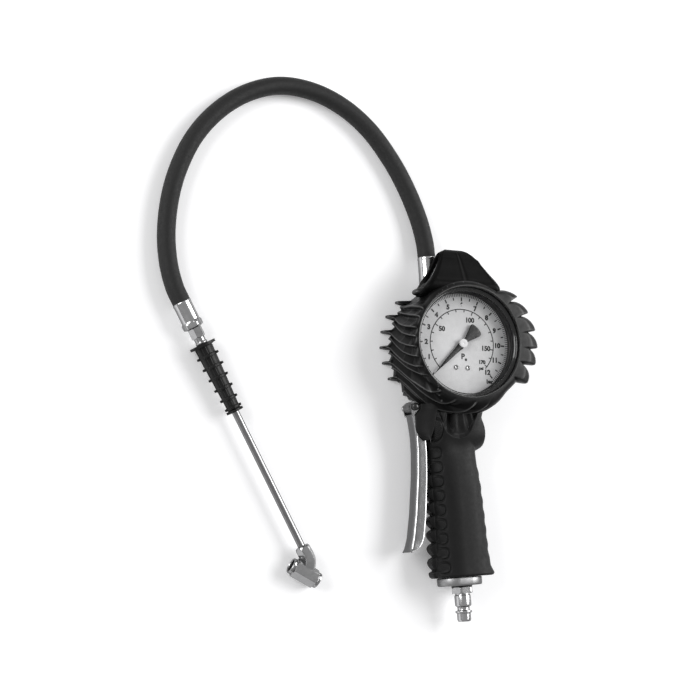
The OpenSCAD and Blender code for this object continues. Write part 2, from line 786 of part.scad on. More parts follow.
// Pin that opens the tyre's own valve; its guide slides in the barrel
module chuck_pin(dir) {
  color("goldenrod") along_chuck() mirror([0, 0, dir > 0 ? 0 : 1]) {
    translate([0, 0, 3]) cylinder(r = 0.9, h = 2.4, $fn = 32);
    translate([0, 0, 2.2]) cylinder(r = 1.2, h = 1.2, $fn = 32);
    translate([0, 0, 2.8]) cylinder(r = 3.1, h = 1.1, $fn = 32);
  }
}

module chuck_pin_left() {
  chuck_pin(-1);
}

module chuck_pin_right() {
  chuck_pin(1);
}

module chuck_spring(dir) {
  color("silver") along_chuck() mirror([0, 0, dir > 0 ? 0 : 1])
    translate([0, 0, 0.1]) coil(2.3, 0.3, 3, 2.6);
}

module chuck_spring_left() {
  chuck_spring(-1);
}

module chuck_spring_right() {
  chuck_spring(1);
}

body_casting();
end_cap();
inlet_plug();
plug_seal();
grip_sleeve();
gauge_boot();
lever();
lever_pin();
pin_clip();
lever_spring();
valve_stem();
stem_seal();
stem_gland();
valve_spring();
valve_cap();
cap_seal();
gauge_case();
gauge_socket();
gauge_bezel();
gauge_lens();
lens_gasket();
dial();
dial_screws();
pointer();
movement_plates();
plate_screws();
pinion();
sector_gear();
link();
bourdon_tube();
outlet_fitting();
upper_ferrule();
hose();
lower_ferrule();
lance_nut();
lance_grip();
lance_tube();
chuck_head();
chuck_seals();
chuck_pin_left();
chuck_pin_right();
chuck_spring_left();
chuck_spring_right();
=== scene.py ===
import math

import bpy
import numpy as np
from mathutils import Matrix, Vector


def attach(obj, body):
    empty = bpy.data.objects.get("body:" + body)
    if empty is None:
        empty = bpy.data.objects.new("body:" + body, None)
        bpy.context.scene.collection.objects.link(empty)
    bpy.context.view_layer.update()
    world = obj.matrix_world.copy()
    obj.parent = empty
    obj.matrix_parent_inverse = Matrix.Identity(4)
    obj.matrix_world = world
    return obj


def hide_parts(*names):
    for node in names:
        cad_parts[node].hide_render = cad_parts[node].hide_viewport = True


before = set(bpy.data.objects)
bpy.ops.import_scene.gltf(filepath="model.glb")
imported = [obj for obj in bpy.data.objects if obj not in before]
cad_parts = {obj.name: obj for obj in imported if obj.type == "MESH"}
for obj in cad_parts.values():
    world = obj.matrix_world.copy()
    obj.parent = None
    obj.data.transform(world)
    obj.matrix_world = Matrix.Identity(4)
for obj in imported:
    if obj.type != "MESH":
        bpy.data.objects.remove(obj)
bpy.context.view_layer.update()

# Lengths are in millimetres in the part's own frame, unless a name says otherwise.
MM = 0.001
AXIS_Z = 16.0          # height of the handle's axis
GAUGE_X = 10.0         # centre of the gauge
GAUGE_TURN = math.radians(-4)
LIP_R = 39.8
LIP_Z = 40.0
DIAL_Z = 25.6
DIAL_R = 37.0
POINTER_Z = DIAL_Z + 2.0
HOSE_R = 6.5
HOSE_ROUTE = [
    (-5, 66, 8.5), (-5.5, 78, 8), (-8.5, 95, 7), (-16, 117, 6.6), (-27, 139, 6.5),
    (-43, 161.5, 6.5), (-63, 178.5, 6.5), (-86, 189, 6.5), (-111, 192, 6.5), (-136, 185.5, 6.5),
    (-158, 172, 6.5), (-176, 153.5, 6.5), (-189, 131, 6.5), (-197, 108, 6.5), (-201, 84, 6.6),
    (-201, 63, 7.4), (-198, 46, 8.3), (-193.5, 34.5, 8.6),
]
LANCE_START = (-193.5, 34.5, 8.6)
LANCE_TURN = math.radians(24)
CHUCK_CENTRE = (-115.5, -156.0, 7.0)
CHUCK_TURN = math.radians(-32)
PIVOT = (-29.5, -44.0, 16.0)
LEVER_LEAN = math.radians(-4)
LEVER_LEN = 103.0
LEVER_HALF = 7.0       # half its width
SHEET = 1.2            # thickness of its sheet metal
VALVE_Y = -64          # the valve's axis, across the handle
RIB_TURN = 0.38        # turn of the lance grip's ribs and of the crimp marks, radians
LANCE_GRIP_START = 32.0
LANCE_GRIP_LEN = 52.0
NECK_START = 188.0     # where the chuck's neck takes the tube, along the lance


# ---------- numbers ----------

def unit(v):
    v = np.asarray(v, float)
    return v / np.linalg.norm(v)


def smooth(x, a=0.0, b=1.0):
    """0 below a, 1 above b, and a smooth step in between."""
    t = np.clip((np.asarray(x, float) - a) / (b - a), 0, 1)
    return t * t * (3 - 2 * t)


def bump(x, centre, half):
    """A smooth bump of height 1 round centre, 0 beyond half."""
    t = np.clip(np.abs(np.asarray(x, float) - centre) / half, 0, 1)
    return (1 - t * t) ** 2


def power(v, n):
    """Superellipse form of a sine or cosine."""
    return np.sign(v) * np.abs(v) ** (2 / n)


def spline(points, count):
    """A Catmull-Rom curve through the points, resampled evenly."""
    p = np.asarray(points, float)
    p = np.vstack([2 * p[0] - p[1], p, 2 * p[-1] - p[-2]])
    out = []
    for i in range(1, len(p) - 2):
        for t in np.linspace(0, 1, 24, endpoint=False):
            a, b, c, d = p[i - 1:i + 3]
            out.append(0.5 * (2 * b + (c - a) * t + (2 * a - 5 * b + 4 * c - d) * t * t
                              + (3 * b - a - 3 * c + d) * t ** 3))
    out = np.array(out + [p[-2]])
    s = np.r_[0, np.cumsum(np.linalg.norm(np.diff(out, axis=0), axis=1))]
    want = np.linspace(0, s[-1], count)
    return np.column_stack([np.interp(want, s, out[:, k]) for k in range(3)])


def flat_spline(points, count):
    """The same curve through points of a plane."""
    return spline([(a, b, 0) for a, b in points], count)[:, :2]


# ---------- frames ----------

class Place:
    """A local frame: origin, and the directions of its own X, Y and Z."""

    def __init__(self, origin, z, x):
        self.o = np.asarray(origin, float)
        self.z = unit(z)
        self.x = unit(np.asarray(x, float) - self.z * np.dot(x, self.z))
        self.y = np.cross(self.z, self.x)

    def __call__(self, p):
        p = np.asarray(p, float)
        return self.o + p[..., :1] * self.x + p[..., 1:2] * self.y + p[..., 2:] * self.z


GAUGE = Place((GAUGE_X, 0, 0), (0, 0, 1), (math.cos(GAUGE_TURN), math.sin(GAUGE_TURN), 0))
LANCE_DIR = np.array([math.sin(LANCE_TURN), -math.cos(LANCE_TURN), 0])
LANCE = Place(LANCE_START, LANCE_DIR, (0, 0, 1))
CHUCK = Place(CHUCK_CENTRE, (math.cos(CHUCK_TURN), math.sin(CHUCK_TURN), 0), (0, 0, 1))
HANDLE = Place((0, 0, AXIS_Z), (0, -1, 0), (0, 0, 1))
HOSE_MOUTH = Place((-5, 66.2, 8.5), (0, -1, 0), (0, 0, 1))
LEVER = Place(PIVOT, (0, 0, 1), (math.cos(LEVER_LEAN), math.sin(LEVER_LEAN), 0))
PART = Place((0, 0, 0), (0, 0, 1), (1, 0, 0))


# ---------- meshes ----------

def make(name, verts, faces, body, look, nodes=(), place=PART, sharp=35, uv=None):
    """A piece from vertices in mm, riding on a body and standing for CAD nodes."""
    verts = place(np.asarray(verts, float).reshape(-1, 3)) * MM
    mesh = bpy.data.meshes.new(name)
    mesh.from_pydata(verts.tolist(), [], faces)
    mesh.update()
    mesh.shade_smooth()
    if sharp is not None:
        mesh.set_sharp_from_angle(angle=math.radians(sharp))
    if uv is not None:
        layer = mesh.uv_layers.new(name="UVMap")
        index = np.zeros(len(mesh.loops), int)
        mesh.loops.foreach_get("vertex_index", index)
        layer.data.foreach_set("uv", np.asarray(uv, np.float32)[index].ravel())
    obj = bpy.data.objects.new(name, mesh)
    bpy.context.scene.collection.objects.link(obj)
    mesh.materials.append(look)
    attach(obj, body)
    if nodes:
        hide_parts(*nodes)
    return obj


def grid_faces(rows, cols, wrap_rows=False, wrap_cols=True):
    faces = []
    for i in range(rows if wrap_rows else rows - 1):
        a, b = i * cols, (i + 1) % rows * cols
        for k in range(cols if wrap_cols else cols - 1):
            n = (k + 1) % cols
            faces.append((a + k, a + n, b + n, b + k))
    return faces


def grid_uv(rows, cols):
    u, v = np.meshgrid(np.arange(rows), np.arange(cols), indexing="ij")
    return np.column_stack([u.ravel() / max(rows - 1, 1), v.ravel() / cols])


def surface(name, points, body, look, nodes=(), place=PART, sharp=35,
            wrap_rows=False, wrap_cols=True, caps=False):
    """A piece from a grid of points, rows by columns, closed round its columns."""
    points = np.asarray(points, float)
    rows, cols = points.shape[:2]
    verts = points.reshape(-1, 3)
    faces = grid_faces(rows, cols, wrap_rows, wrap_cols)
    uv = grid_uv(rows, cols)
    if caps:
        for row in (0, rows - 1):
            ring = [row * cols + k for k in range(cols)]
            faces.append(tuple(reversed(ring)) if row == 0 else tuple(ring))
    return make(name, verts, faces, body, look, nodes, place, sharp, uv)


def hexagon(angle, flats):
    """Distance from the centre of a hexagon to its side, at an angle."""
    turn = (angle + math.pi / 6) % (math.pi / 3) - math.pi / 6
    return flats / 2 / np.cos(turn)


def lathe(profile, cols=96, flats=None):
    """Points of a turned shape: (radius, length) pairs round the local Z. flats cuts a hexagon."""
    angle = np.linspace(0, 2 * math.pi, cols, endpoint=False)
    rows = []
    for r, z in profile:
        rr = np.full(cols, float(r))
        if flats:
            rr = np.minimum(rr, hexagon(angle, flats))
        rows.append(np.column_stack([rr * np.cos(angle), rr * np.sin(angle), np.full(cols, float(z))]))
    return np.array(rows)


def rounded(profile, radius=0.3, steps=3):
    """The same (radius, length) profile with its inner corners rounded."""
    p = [np.asarray(q, float) for q in profile]
    out = [p[0]]
    for a, b, c in zip(p, p[1:], p[2:]):
        cut = min(radius, np.linalg.norm(a - b) * 0.45, np.linalg.norm(c - b) * 0.45)
        start, end = b + unit(a - b) * cut, b + unit(c - b) * cut
        for t in np.linspace(0, 1, steps + 1):
            out.append((1 - t) ** 2 * start + 2 * t * (1 - t) * b + t * t * end)
    return np.array(out + [p[-1]])


def join_meshes(parts):
    """One list of vertices and one of faces from several."""
    verts, faces, base = [], [], 0
    for v, f in parts:
        v = np.asarray(v, float).reshape(-1, 3)
        verts.append(v)
        faces += [tuple(base + i for i in face) for face in f]
        base += len(v)
    return np.vstack(verts), faces


# ---------- materials ----------

class Nodes:
    """Short forms for building a node material in millimetre coordinates."""

    def __init__(self, name):
        self.material = bpy.data.materials.new(name)
        self.material.use_nodes = True
        self.tree = self.material.node_tree
        self.shader = self.tree.nodes["Principled BSDF"]
        coords = self.add("ShaderNodeTexCoord")
        self.mm = self.add("ShaderNodeMapping")
        self.mm.inputs["Scale"].default_value = (1000, 1000, 1000)
        self.link(coords.outputs["Object"], self.mm.inputs["Vector"])
        self.uv = coords.outputs["UV"]

    def add(self, kind, **values):
        node = self.tree.nodes.new(kind)
        for key, value in values.items():
            setattr(node, key, value)
        return node

    def link(self, a, b):
        self.tree.links.new(a, b)

    def noise(self, scale, detail=4.0, stretch=None, roughness=0.55):
        node = self.add("ShaderNodeTexNoise")
        node.inputs["Scale"].default_value = scale
        node.inputs["Detail"].default_value = detail
        node.inputs["Roughness"].default_value = roughness
        source = self.mm.outputs["Vector"]
        if stretch:
            squeeze = self.add("ShaderNodeMapping")
            squeeze.inputs["Scale"].default_value = stretch
            self.link(source, squeeze.inputs["Vector"])
            source = squeeze.outputs["Vector"]
        self.link(source, node.inputs["Vector"])
        return node.outputs["Fac"]

    def ramp(self, source, low, high, a=0.3, b=0.7):
        node = self.add("ShaderNodeMapRange")
        node.inputs["From Min"].default_value = a
        node.inputs["From Max"].default_value = b
        node.inputs["To Min"].default_value = low
        node.inputs["To Max"].default_value = high
        self.link(source, node.inputs["Value"])
        return node.outputs["Result"]

    def mix(self, factor, a, b):
        """Mixes two colours, or a colour and another node's colour."""
        node = self.add("ShaderNodeMix", data_type="RGBA")
        self.link(factor, node.inputs["Factor"])
        for socket, value in (("A", a), ("B", b)):
            target = [i for i in node.inputs if i.name == socket and i.type == "RGBA"][0]
            if isinstance(value, tuple):
                target.default_value = (*value, 1)
            else:
                self.link(value, target)
        return [o for o in node.outputs if o.type == "RGBA"][0]

    def bumps(self, layers):
        """Stacks (height source, distance in mm) layers of bump."""
        last = None
        for source, distance in layers:
            node = self.add("ShaderNodeBump")
            node.inputs["Strength"].default_value = 1.0
            node.inputs["Distance"].default_value = distance * MM
            self.link(source, node.inputs["Height"])
            if last:
                self.link(last, node.inputs["Normal"])
            last = node.outputs["Normal"]
        self.link(last, self.shader.inputs["Normal"])

    def worn_edges(self, colour, worn, amount=0.5):
        """Lighter along convex edges, from the mesh's own curvature."""
        geometry = self.add("ShaderNodeNewGeometry")
        edge = self.ramp(geometry.outputs["Pointiness"], 0.0, amount, 0.52, 0.62)
        return self.mix(edge, colour, worn)

    def colour(self, source):
        self.link(source, self.shader.inputs["Base Color"])

    def rough(self, source):
        self.link(source, self.shader.inputs["Roughness"])

    def set(self, **values):
        for key, value in values.items():
            self.shader.inputs[key.replace("_", " ")].default_value = value


def grey(v):
    return (v, v, v * 1.01)


def rubber(name, base, light, rough=(0.42, 0.6), grain=(6.0, 0.035), blotch=0.12, gloss=0.2,
           crest=0.0):
    """Moulded rubber: cloudy colour, fine grain and rubbed edges; crest is the gloss of its ridges."""
    n = Nodes(name)
    cloud = n.noise(blotch, 3)
    colour = n.mix(n.ramp(cloud, 0, 1), grey(base * 0.85), grey(base * 1.15))
    n.colour(n.worn_edges(colour, grey(light), 0.55))
    fine = n.noise(grain[0], 3)
    n.rough(n.ramp(n.noise(0.35, 5), *rough))
    n.bumps([(fine, grain[1]), (n.noise(0.5, 4), 0.05)])
    if not crest:
        n.set(Specular_IOR_Level=gloss)
        return n.material
    edge = n.add("ShaderNodeNewGeometry").outputs["Pointiness"]
    n.link(n.ramp(edge, gloss * 0.3, crest, 0.497, 0.53), n.shader.inputs["Specular IOR Level"])
    return n.material


def metal(name, base, dark, rough=(0.16, 0.3), stretch=None, scratch=0.012, spots=0.3):
    """Plated or machined metal: soft stains, fine scratches and dulled patches, and a painted reflection:
    the colour darkens towards the outline, where the surface turns from the camera.
    """
    n = Nodes(name)
    n.set(Metallic=1.0)
    stain = n.noise(spots, 6)
    plain = n.mix(n.ramp(stain, 0, 1, 0.35, 0.75), grey(base), grey(dark))
    # painted reflection: the base colour darkens to a quarter of the stain tone where the surface turns
    # away from the camera, standing in for dark surroundings reflected at the edges
    painted_dark_rim = n.add("ShaderNodeLayerWeight")
    painted_dark_rim.inputs["Blend"].default_value = 0.5
    n.colour(n.mix(n.ramp(painted_dark_rim.outputs["Facing"], 0, 0.95, 0.1, 0.62), plain, grey(dark * 0.25)))
    lines = n.noise(1.6, 4, stretch or (1, 1, 1))
    n.rough(n.ramp(lines, *rough))
    n.bumps([(lines, scratch), (n.noise(8.0, 2), scratch * 0.4)])
    return n.material


def brass_look():
    n = Nodes("turned_brass")
    n.set(Metallic=1.0)
    n.colour(n.mix(n.ramp(n.noise(0.6, 5), 0, 1), (0.62, 0.46, 0.2), (0.45, 0.32, 0.13)))
    n.rough(n.ramp(n.noise(2.5, 4), 0.22, 0.4))
    n.bumps([(n.noise(5.0, 3), 0.01)])
    return n.material


def paint(name, base, rough=(0.2, 0.35), grain=0.006, coat=0.0):
    n = Nodes(name)
    n.colour(n.mix(n.ramp(n.noise(0.25, 4), 0, 1), grey(base * 0.94), grey(base * 1.04)))
    n.rough(n.ramp(n.noise(1.2, 4), *rough))
    n.bumps([(n.noise(3.0, 3), grain)])
    n.set(Coat_Weight=coat, Coat_Roughness=0.06)
    return n.material


def hose_look():
    """Rubber with the faint print of the cloth it was cured in."""
    n = Nodes("hose_rubber")
    wave = n.add("ShaderNodeTexWave")
    wave.inputs["Scale"].default_value = 260
    wave.inputs["Distortion"].default_value = 1.2
    wave.inputs["Detail"].default_value = 2
    wave.bands_direction = "X"
    n.link(n.uv, wave.inputs["Vector"])
    cloth = n.noise(1.1, 4)
    n.colour(n.mix(n.ramp(cloth, 0, 1), grey(0.010), grey(0.016)))
    n.rough(n.ramp(n.noise(0.5, 5), 0.5, 0.68))
    n.bumps([(wave.outputs["Fac"], 0.05), (n.noise(2.2, 4), 0.06)])
    n.set(Specular_IOR_Level=0.3)
    return n.material


def glass_look():
    n = Nodes("gauge_glass")
    n.colour(n.mix(n.ramp(n.noise(0.1, 2), 0, 1), (0.02, 0.022, 0.022), (0.03, 0.03, 0.03)))
    n.rough(n.ramp(n.noise(0.6, 5), 0.015, 0.05))
    n.bumps([(n.noise(0.02, 2), 0.02)])
    n.set(Alpha=0.07, IOR=1.5)
    n.material.blend_method = "BLEND"
    return n.material


def floor_look():
    n = Nodes("pale_floor")
    n.colour(n.mix(n.ramp(n.noise(0.01, 3), 0, 1), grey(0.93), grey(0.95)))
    n.rough(n.ramp(n.noise(0.05, 3), 0.7, 0.8))
    n.bumps([(n.noise(0.2, 4), 0.02)])
    n.set(Emission_Color=(1, 1, 1, 1), Emission_Strength=0.15)
    return n.material


BOOT = rubber("boot_rubber", 0.003, 0.014, rough=(0.34, 0.46), grain=(5.0, 0.02), gloss=0.2, crest=0.9)
GRIP = rubber("grip_rubber", 0.007, 0.02, rough=(0.48, 0.6), grain=(7.0, 0.04))
LANCE_RUBBER = rubber("lance_rubber", 0.01, 0.03, rough=(0.32, 0.46), grain=(4.0, 0.02))
SEAL = rubber("seal_rubber", 0.02, 0.05)
HOSE = hose_look()
CHROME = metal("bright_plate", 0.7, 0.6, rough=(0.15, 0.22), scratch=0.003)
NICKEL = metal("nickel_plate", 0.52, 0.44, rough=(0.18, 0.26), scratch=0.004)
TUBE = metal("tube_plate", 0.36, 0.31, rough=(0.26, 0.34), scratch=0.006)
STEEL = metal("satin_steel", 0.45, 0.37, rough=(0.15, 0.21), stretch=(1, 0.08, 1), scratch=0.004)
CAST = metal("cast_alloy", 0.6, 0.45, rough=(0.4, 0.6), scratch=0.04, spots=0.5)
CAP = metal("turned_alloy", 0.42, 0.34, rough=(0.34, 0.5), scratch=0.02)
BRASS = brass_look()
BEZEL = paint("bezel_enamel", 0.012, rough=(0.1, 0.2), coat=0.6)
CASE = paint("case_enamel", 0.02, rough=(0.3, 0.45))
DIAL = paint("dial_white", 0.74, rough=(0.4, 0.55), grain=0.004)
PRINT = paint("dial_print", 0.008, rough=(0.4, 0.6))
POINTER = paint("pointer_black", 0.01, rough=(0.35, 0.5))
PIN_BLACK = paint("pin_blacked", 0.012, rough=(0.25, 0.4), coat=0.3)
HUB = paint("hub_white", 0.85, rough=(0.25, 0.4))
GLASS = glass_look()


# ---------- camera, first ----------

def camera():
    """Looks down at the dial from the lever's side and a little below, rolled to stand it upright."""
    side, drop, roll = math.radians(22), math.radians(8.5), math.radians(-4.2)
    distance = 1.257
    out = Vector((-math.sin(side) * math.cos(drop), -math.sin(drop), math.cos(side) * math.cos(drop)))
    turn = Matrix.Rotation(roll, 3, "Z")
    out, up = turn @ out, turn @ Vector((0, 1, 0))
    data = bpy.data.cameras.new("camera")
    data.sensor_width, data.lens = 36, 90.51
    data.clip_start, data.clip_end = 0.05, 20
    obj = bpy.data.objects.new("camera", data)
    bpy.context.scene.collection.objects.link(obj)
    right = up.cross(out).normalized()
    axes = Matrix((right, out.cross(right), out)).transposed()
    target = Vector((-0.06982, -0.00051, 0.00683))
    obj.matrix_world = Matrix.Translation(target + out * distance) @ axes.to_4x4()
    bpy.context.scene.camera = obj


camera()


# ---------- hose and its ferrules ----------

def sweep(path, radius, cols):
    """Rings round a path that lies nearly flat."""
    t = np.gradient(path, axis=0)
    t /= np.linalg.norm(t, axis=1)[:, None]
    side = np.cross([0, 0, 1.0], t)
    side /= np.linalg.norm(side, axis=1)[:, None]
    up = np.cross(t, side)
    angle = np.linspace(0, 2 * math.pi, cols, endpoint=False)
    rings = [p + np.outer(np.cos(angle), s) * r + np.outer(np.sin(angle), u) * r
             for p, s, u, r in zip(path, side, up, radius)]
    return np.array(rings)


def crimped_sleeve(name, place, length, radius, node, beads):
    """Bright sleeve pressed over the hose; beads are its round crimp marks."""
    profile = rounded([(HOSE_R - 0.6, -0.2), (radius - 0.25, -0.25), (radius, 0.25), (radius, 1.6),
                       (radius - 0.18, 2.0), (radius - 0.18, length * 0.72), (radius, length * 0.76),
                       (radius, length - 0.8), (radius - 1.5, length), (3.0, length)], 0.4)
    points = lathe(profile, 128)
    angle = np.arctan2(points[..., 1], points[..., 0])
    along = points[..., 2]
    r = np.hypot(points[..., 0], points[..., 1])
    for at, where in beads:
        turn = np.angle(np.exp(1j * (angle - at)))
        near = np.hypot(turn * radius, along - where)
        grow = 1.3 * bump(near, 0, 2.9) * (r > radius - 1)
        points[..., 0] += grow * np.cos(angle)
        points[..., 1] += grow * np.sin(angle)
    return surface(name, points, "inflator", CHROME, [node], place, caps=True, sharp=50)


def hose():
    """The hose with a ferrule at each end; its length is the CAD's."""
    path = spline(HOSE_ROUTE, 420)
    tube = surface("hose_tube", sweep(path, np.full(len(path), HOSE_R), 40), "inflator",
                   HOSE, ["hose"], caps=True)
    upper = crimped_sleeve("hose_sleeve_upper", HOSE_MOUTH, 20, 6.9, "upper_ferrule", [])
    beads = [(k * math.pi / 3 + RIB_TURN - math.pi / 6, 17.0) for k in range(6)]
    lower = crimped_sleeve("hose_sleeve_lower", LANCE, 19.9, 6.8, "lower_ferrule", beads)


hose()


# ---------- rubber boot ----------

# Ridges on the lever's side: direction at the back, sweep to the lip, how early it sweeps, height
LEVER_RIDGES = [(143, 6, 0.8, 2.6), (149, 9, 0.7, 2.0), (155.5, 14, 0.9, 3.6), (160, 18, 0.6, 2.4),
                (169.5, 18.5, 0.3, 3.8), (174.5, 23, 0.3, 2.6), (182, 26, 0, 4.0), (187.5, 30, -0.2, 2.8),
                (195.5, 42, -0.5, 4.2), (201, 54, -0.6, 3.0), (208, 68, -0.6, 4.2), (214, 78, -0.5, 3.0),
                (223, 84, -0.4, 4.0), (231, 90, -0.3, 3.0)]
# Tips of the thin spikes at the back, in the gauge's frame
SPIKES = [(-41.4, 31.6), (-49.1, 20.7), (-53.1, 9.3), (-53.9, -2.2), (-52.0, -13.4), (-47.6, -24.6),
          (-35.6, -35.3)]
# Tips of the broad lobes on the spine's side: distance and direction
LOBES = [(56.2, 46.5), (55.6, 30.0), (56.0, 14.6), (56.0, 0), (55.6, -14.2), (54.8, -31.6)]
SIDE_R = 45.0
LOBE_ROOT_R = 46.6
RIDGE_Z = 5.0          # the ridges sweep round from here up to the lip
EDGE_Z = 33.0          # where the front edge starts to roll over


def degrees_between(a, b):
    return (a - b + 180) % 360 - 180


def base_radius(deg):
    """Plain radius of the boot's side; it swells into a chin above the handle."""
    chin = smooth(deg, 214, 250) * (1 - smooth(deg, 288, 322))
    right = smooth(degrees_between(deg, 0), -52, -36) * (1 - smooth(degrees_between(deg, 0), 40, 60))
    return SIDE_R + 5.0 * chin + 2.0 * right


def lever_side_ridges(deg, z, r):
    """Height of the ridges that sweep from the spikes round to the lip."""
    out = np.zeros_like(deg)
    rise = LIP_Z - RIDGE_Z
    run = np.clip((z - RIDGE_Z) / rise, 0, 1)
    for back, sweep, early, height in LEVER_RIDGES:
        at = back + sweep * (run + early * run * (1 - run))
        slope = sweep * math.pi / 180 * r / rise
        near = degrees_between(deg, at) * math.pi / 180 * r / np.sqrt(1 + slope ** 2)
        above, below = np.clip(1 + near / 5.2, 0, 1) ** 1.4, 1 - smooth(near, 0, 1.5)
        out = np.maximum(out, 1.12 * height * np.where(near < 0, above, below))
    return out


def push_spikes(x, y, z):
    """Draws the thin blades at the boot's back straight out to their tips."""
    for tip_x, tip_y in SPIKES:
        off = np.abs(y - tip_y)
        blade = (1 - smooth(off, 0.75, 1.6)) * (1 - smooth(z, 3.0, 7.5)) * (x < 0)
        x = x + (tip_x - x) * blade
    return x


def spine_side_lobes(deg, z, r):
    """Height of the broad lobes on the spine's side, tallest at the front."""
    out = np.zeros_like(deg)
    for reach, tip in LOBES:
        at = tip + 10 * (1 - np.clip(z / 36, 0, 1)) ** 1.5
        near = degrees_between(deg, at) * math.pi / 180 * r
        up, down = np.clip(near / 9.8, 0, 1), np.clip(-near / 2.3, 0, 1)
        shape = np.where(near > 0, (1 - up ** 2) ** 0.55, (1 - down ** 2) ** 0.5)
        share = np.interp(z, [0, 6, 14, 24, 32, 36, 38.6, 40], [0.2, 0.3, 0.5, 0.78, 0.98, 1.0, 0.6, 0.02])
        out = np.maximum(out, shape * share * (reach - LOBE_ROOT_R))
    return out


def rounded_along(values, half):
    """Softens values along the columns, which run all the way round."""
    weights = np.hanning(2 * half + 3)[1:-1]
    shifts = range(-half, half + 1)
    return sum(w * np.roll(values, k, axis=1) for w, k in zip(weights, shifts)) / weights.sum()


def boot_side(theta, z):
    """Points of the boot's side and rolled edge, with ridges, spikes and lobes."""
    deg = np.degrees(theta)
    rise = np.clip((z - EDGE_Z) / (LIP_Z - EDGE_Z), 0, 1)
    r = LIP_R + 0.6 + (base_radius(deg) - LIP_R - 0.6) * (1 - rise ** 2.6) ** 0.6
    r -= 1.6 * (1 - smooth(z, 0, 2.2))
    left = smooth(deg, 128, 140) * (1 - smooth(deg, 270, 296))
    ridges = rounded_along(lever_side_ridges(deg, z, r), 1) - np.interp(z, [26, 34, 40], [0, 1.7, 1.7])
    ridges *= left * np.interp(z, [31, 36.5, 38.5, 39.6], [1, 0.8, 0.35, 0])
    fall = np.gradient(r, axis=0) / np.gradient(z, axis=0)
    slant = np.hypot(1, fall)
    r += ridges / slant
    lobes = rounded_along(spine_side_lobes(deg, z, r), 3)
    x, y = r * np.cos(theta), r * np.sin(theta)
    x = push_spikes(x, y, z)
    x += lobes * (0.5 + 0.5 * np.cos(theta))
    y += lobes * 0.5 * np.sin(theta) - 0.012 * lobes ** 2
    # the ridges run on over the rolled front edge
    return np.stack([x, y, np.clip(z - ridges * fall / slant, 0, LIP_Z)], -1)


def boot():
    cols, side_rows, edge_rows = 1100, 90, 30
    edge = EDGE_Z + (LIP_Z - EDGE_Z) * np.sin(np.linspace(0, 1, edge_rows)[1:] * math.pi / 2)
    theta = np.linspace(0, 2 * math.pi, cols, endpoint=False)
    outer = boot_side(*np.meshgrid(theta, np.concatenate([np.linspace(0, EDGE_Z, side_rows), edge])))
    inner = lathe([(LIP_R + 0.3, LIP_Z), (LIP_R, LIP_Z - 0.3), (LIP_R, 36.9), (LIP_R + 0.4, 36.7)], cols)
    back = lathe([(0.01, 1.0), (30, 1.0), (31, 0.4), (33, 0.0), (38, 0.0), (40, 0.05)], cols)
    points = np.concatenate([back, outer, inner])
    return surface("gauge_boot_moulded", points, "inflator", BOOT, ["gauge_boot"], GAUGE,
                   sharp=None)


def tongue():
    """Short rounded tongue beside the hanging eye."""
    outline = flat_spline([(-26, 40.5), (-31, 39.6), (-35.5, 38.2), (-38, 36.6), (-38, 34.6), (-35.5, 33.4),
                           (-31, 33), (-27, 32.5)], 60)
    middle = np.array([-30.0, 36.3])
    rows = []
    for t in np.linspace(-1, 1, 25):
        grow = (1 - abs(t) ** 2.6) ** 0.5
        ring = middle + (outline - middle) * (0.25 + 0.75 * grow)
        rows.append(np.column_stack([ring, np.full(len(ring), 25 + 5.2 * t)]))
    return surface("boot_tongue", np.array(rows), "inflator", BOOT, (), GAUGE, caps=True,
                   sharp=None)


EYE_X = -5.0
EYE_TUNNEL = np.array([53.0, 23.2])
TUNNEL_HALF = np.array([10.2, 5.2])
EYE_INNER_R = 41.4     # the eye stays outside the lip
# Half widths of the hanging eye, on each side of its middle, against the distance up the boot
EYE_UP = [30, 36, 40, 44.5, 52, 60, 64.5, 67.5, 69.2]
EYE_LEFT = [31, 28.5, 25.5, 23, 18.4, 14.2, 12.2, 10.4, 7.0]
EYE_RIGHT = [33, 31.5, 30.4, 27.8, 23.0, 18.2, 14.2, 10.2, 6.0]


def hanging_eye():
    """A thick band of rubber round a tunnel from side to side, on top of the boot."""
    outline = flat_spline([(33, 31), (37, 36.6), (41, 38.1), (46, 36.6), (54, 33.2), (62, 29.6), (67.6, 26),
                           (69.2, 22), (68, 17.8), (64, 15.9), (56, 15.6), (46, 15.7), (38, 16.4),
                           (33, 20)], 170)
    scaled = (outline - EYE_TUNNEL) / TUNNEL_HALF
    aim = np.arctan2(scaled[:, 1], scaled[:, 0])
    ring = EYE_TUNNEL + TUNNEL_HALF * np.column_stack([power(np.cos(aim), 2.5), power(np.sin(aim), 2.5)])
    toward = (ring - outline) / np.linalg.norm(ring - outline, axis=1)[:, None]
    across = np.linspace(-1, 1, 61)
    rows = []
    for yz, sign, tucked in ((outline, 1, 1.4), (ring, -1, 1.1)):
        left, right = (np.interp(yz[:, 0], EYE_UP, side) for side in (EYE_LEFT, EYE_RIGHT))
        for u in across * sign:
            tuck = tucked * (1 - smooth(1 - abs(u), 0, 0.1)) ** 2
            moved = yz + sign * toward * tuck
            half = right if u > 0 else left
            crease = 0.12 * math.exp(-((u - 0.1) / 0.045) ** 2) * smooth(yz[:, 1], 24, 30) * (sign > 0)
            rows.append(np.column_stack([EYE_X + u * half, moved[:, 0], moved[:, 1] - crease]))
    points = np.array(rows)
    away = np.hypot(points[..., 0], points[..., 1])
    points[..., :2] *= np.maximum(1, EYE_INNER_R / away)[..., None]
    return surface("hanging_eye", points, "inflator", BOOT, (), GAUGE, sharp=None, wrap_rows=True)


boot()
tongue()
hanging_eye()


# ---------- gauge ----------

PSI_PER_BAR = 14.504


def bar_angle(bar):
    """Direction of a reading on the scale, from 0 at the lower left."""
    return math.radians(225 - 22.5 * bar)


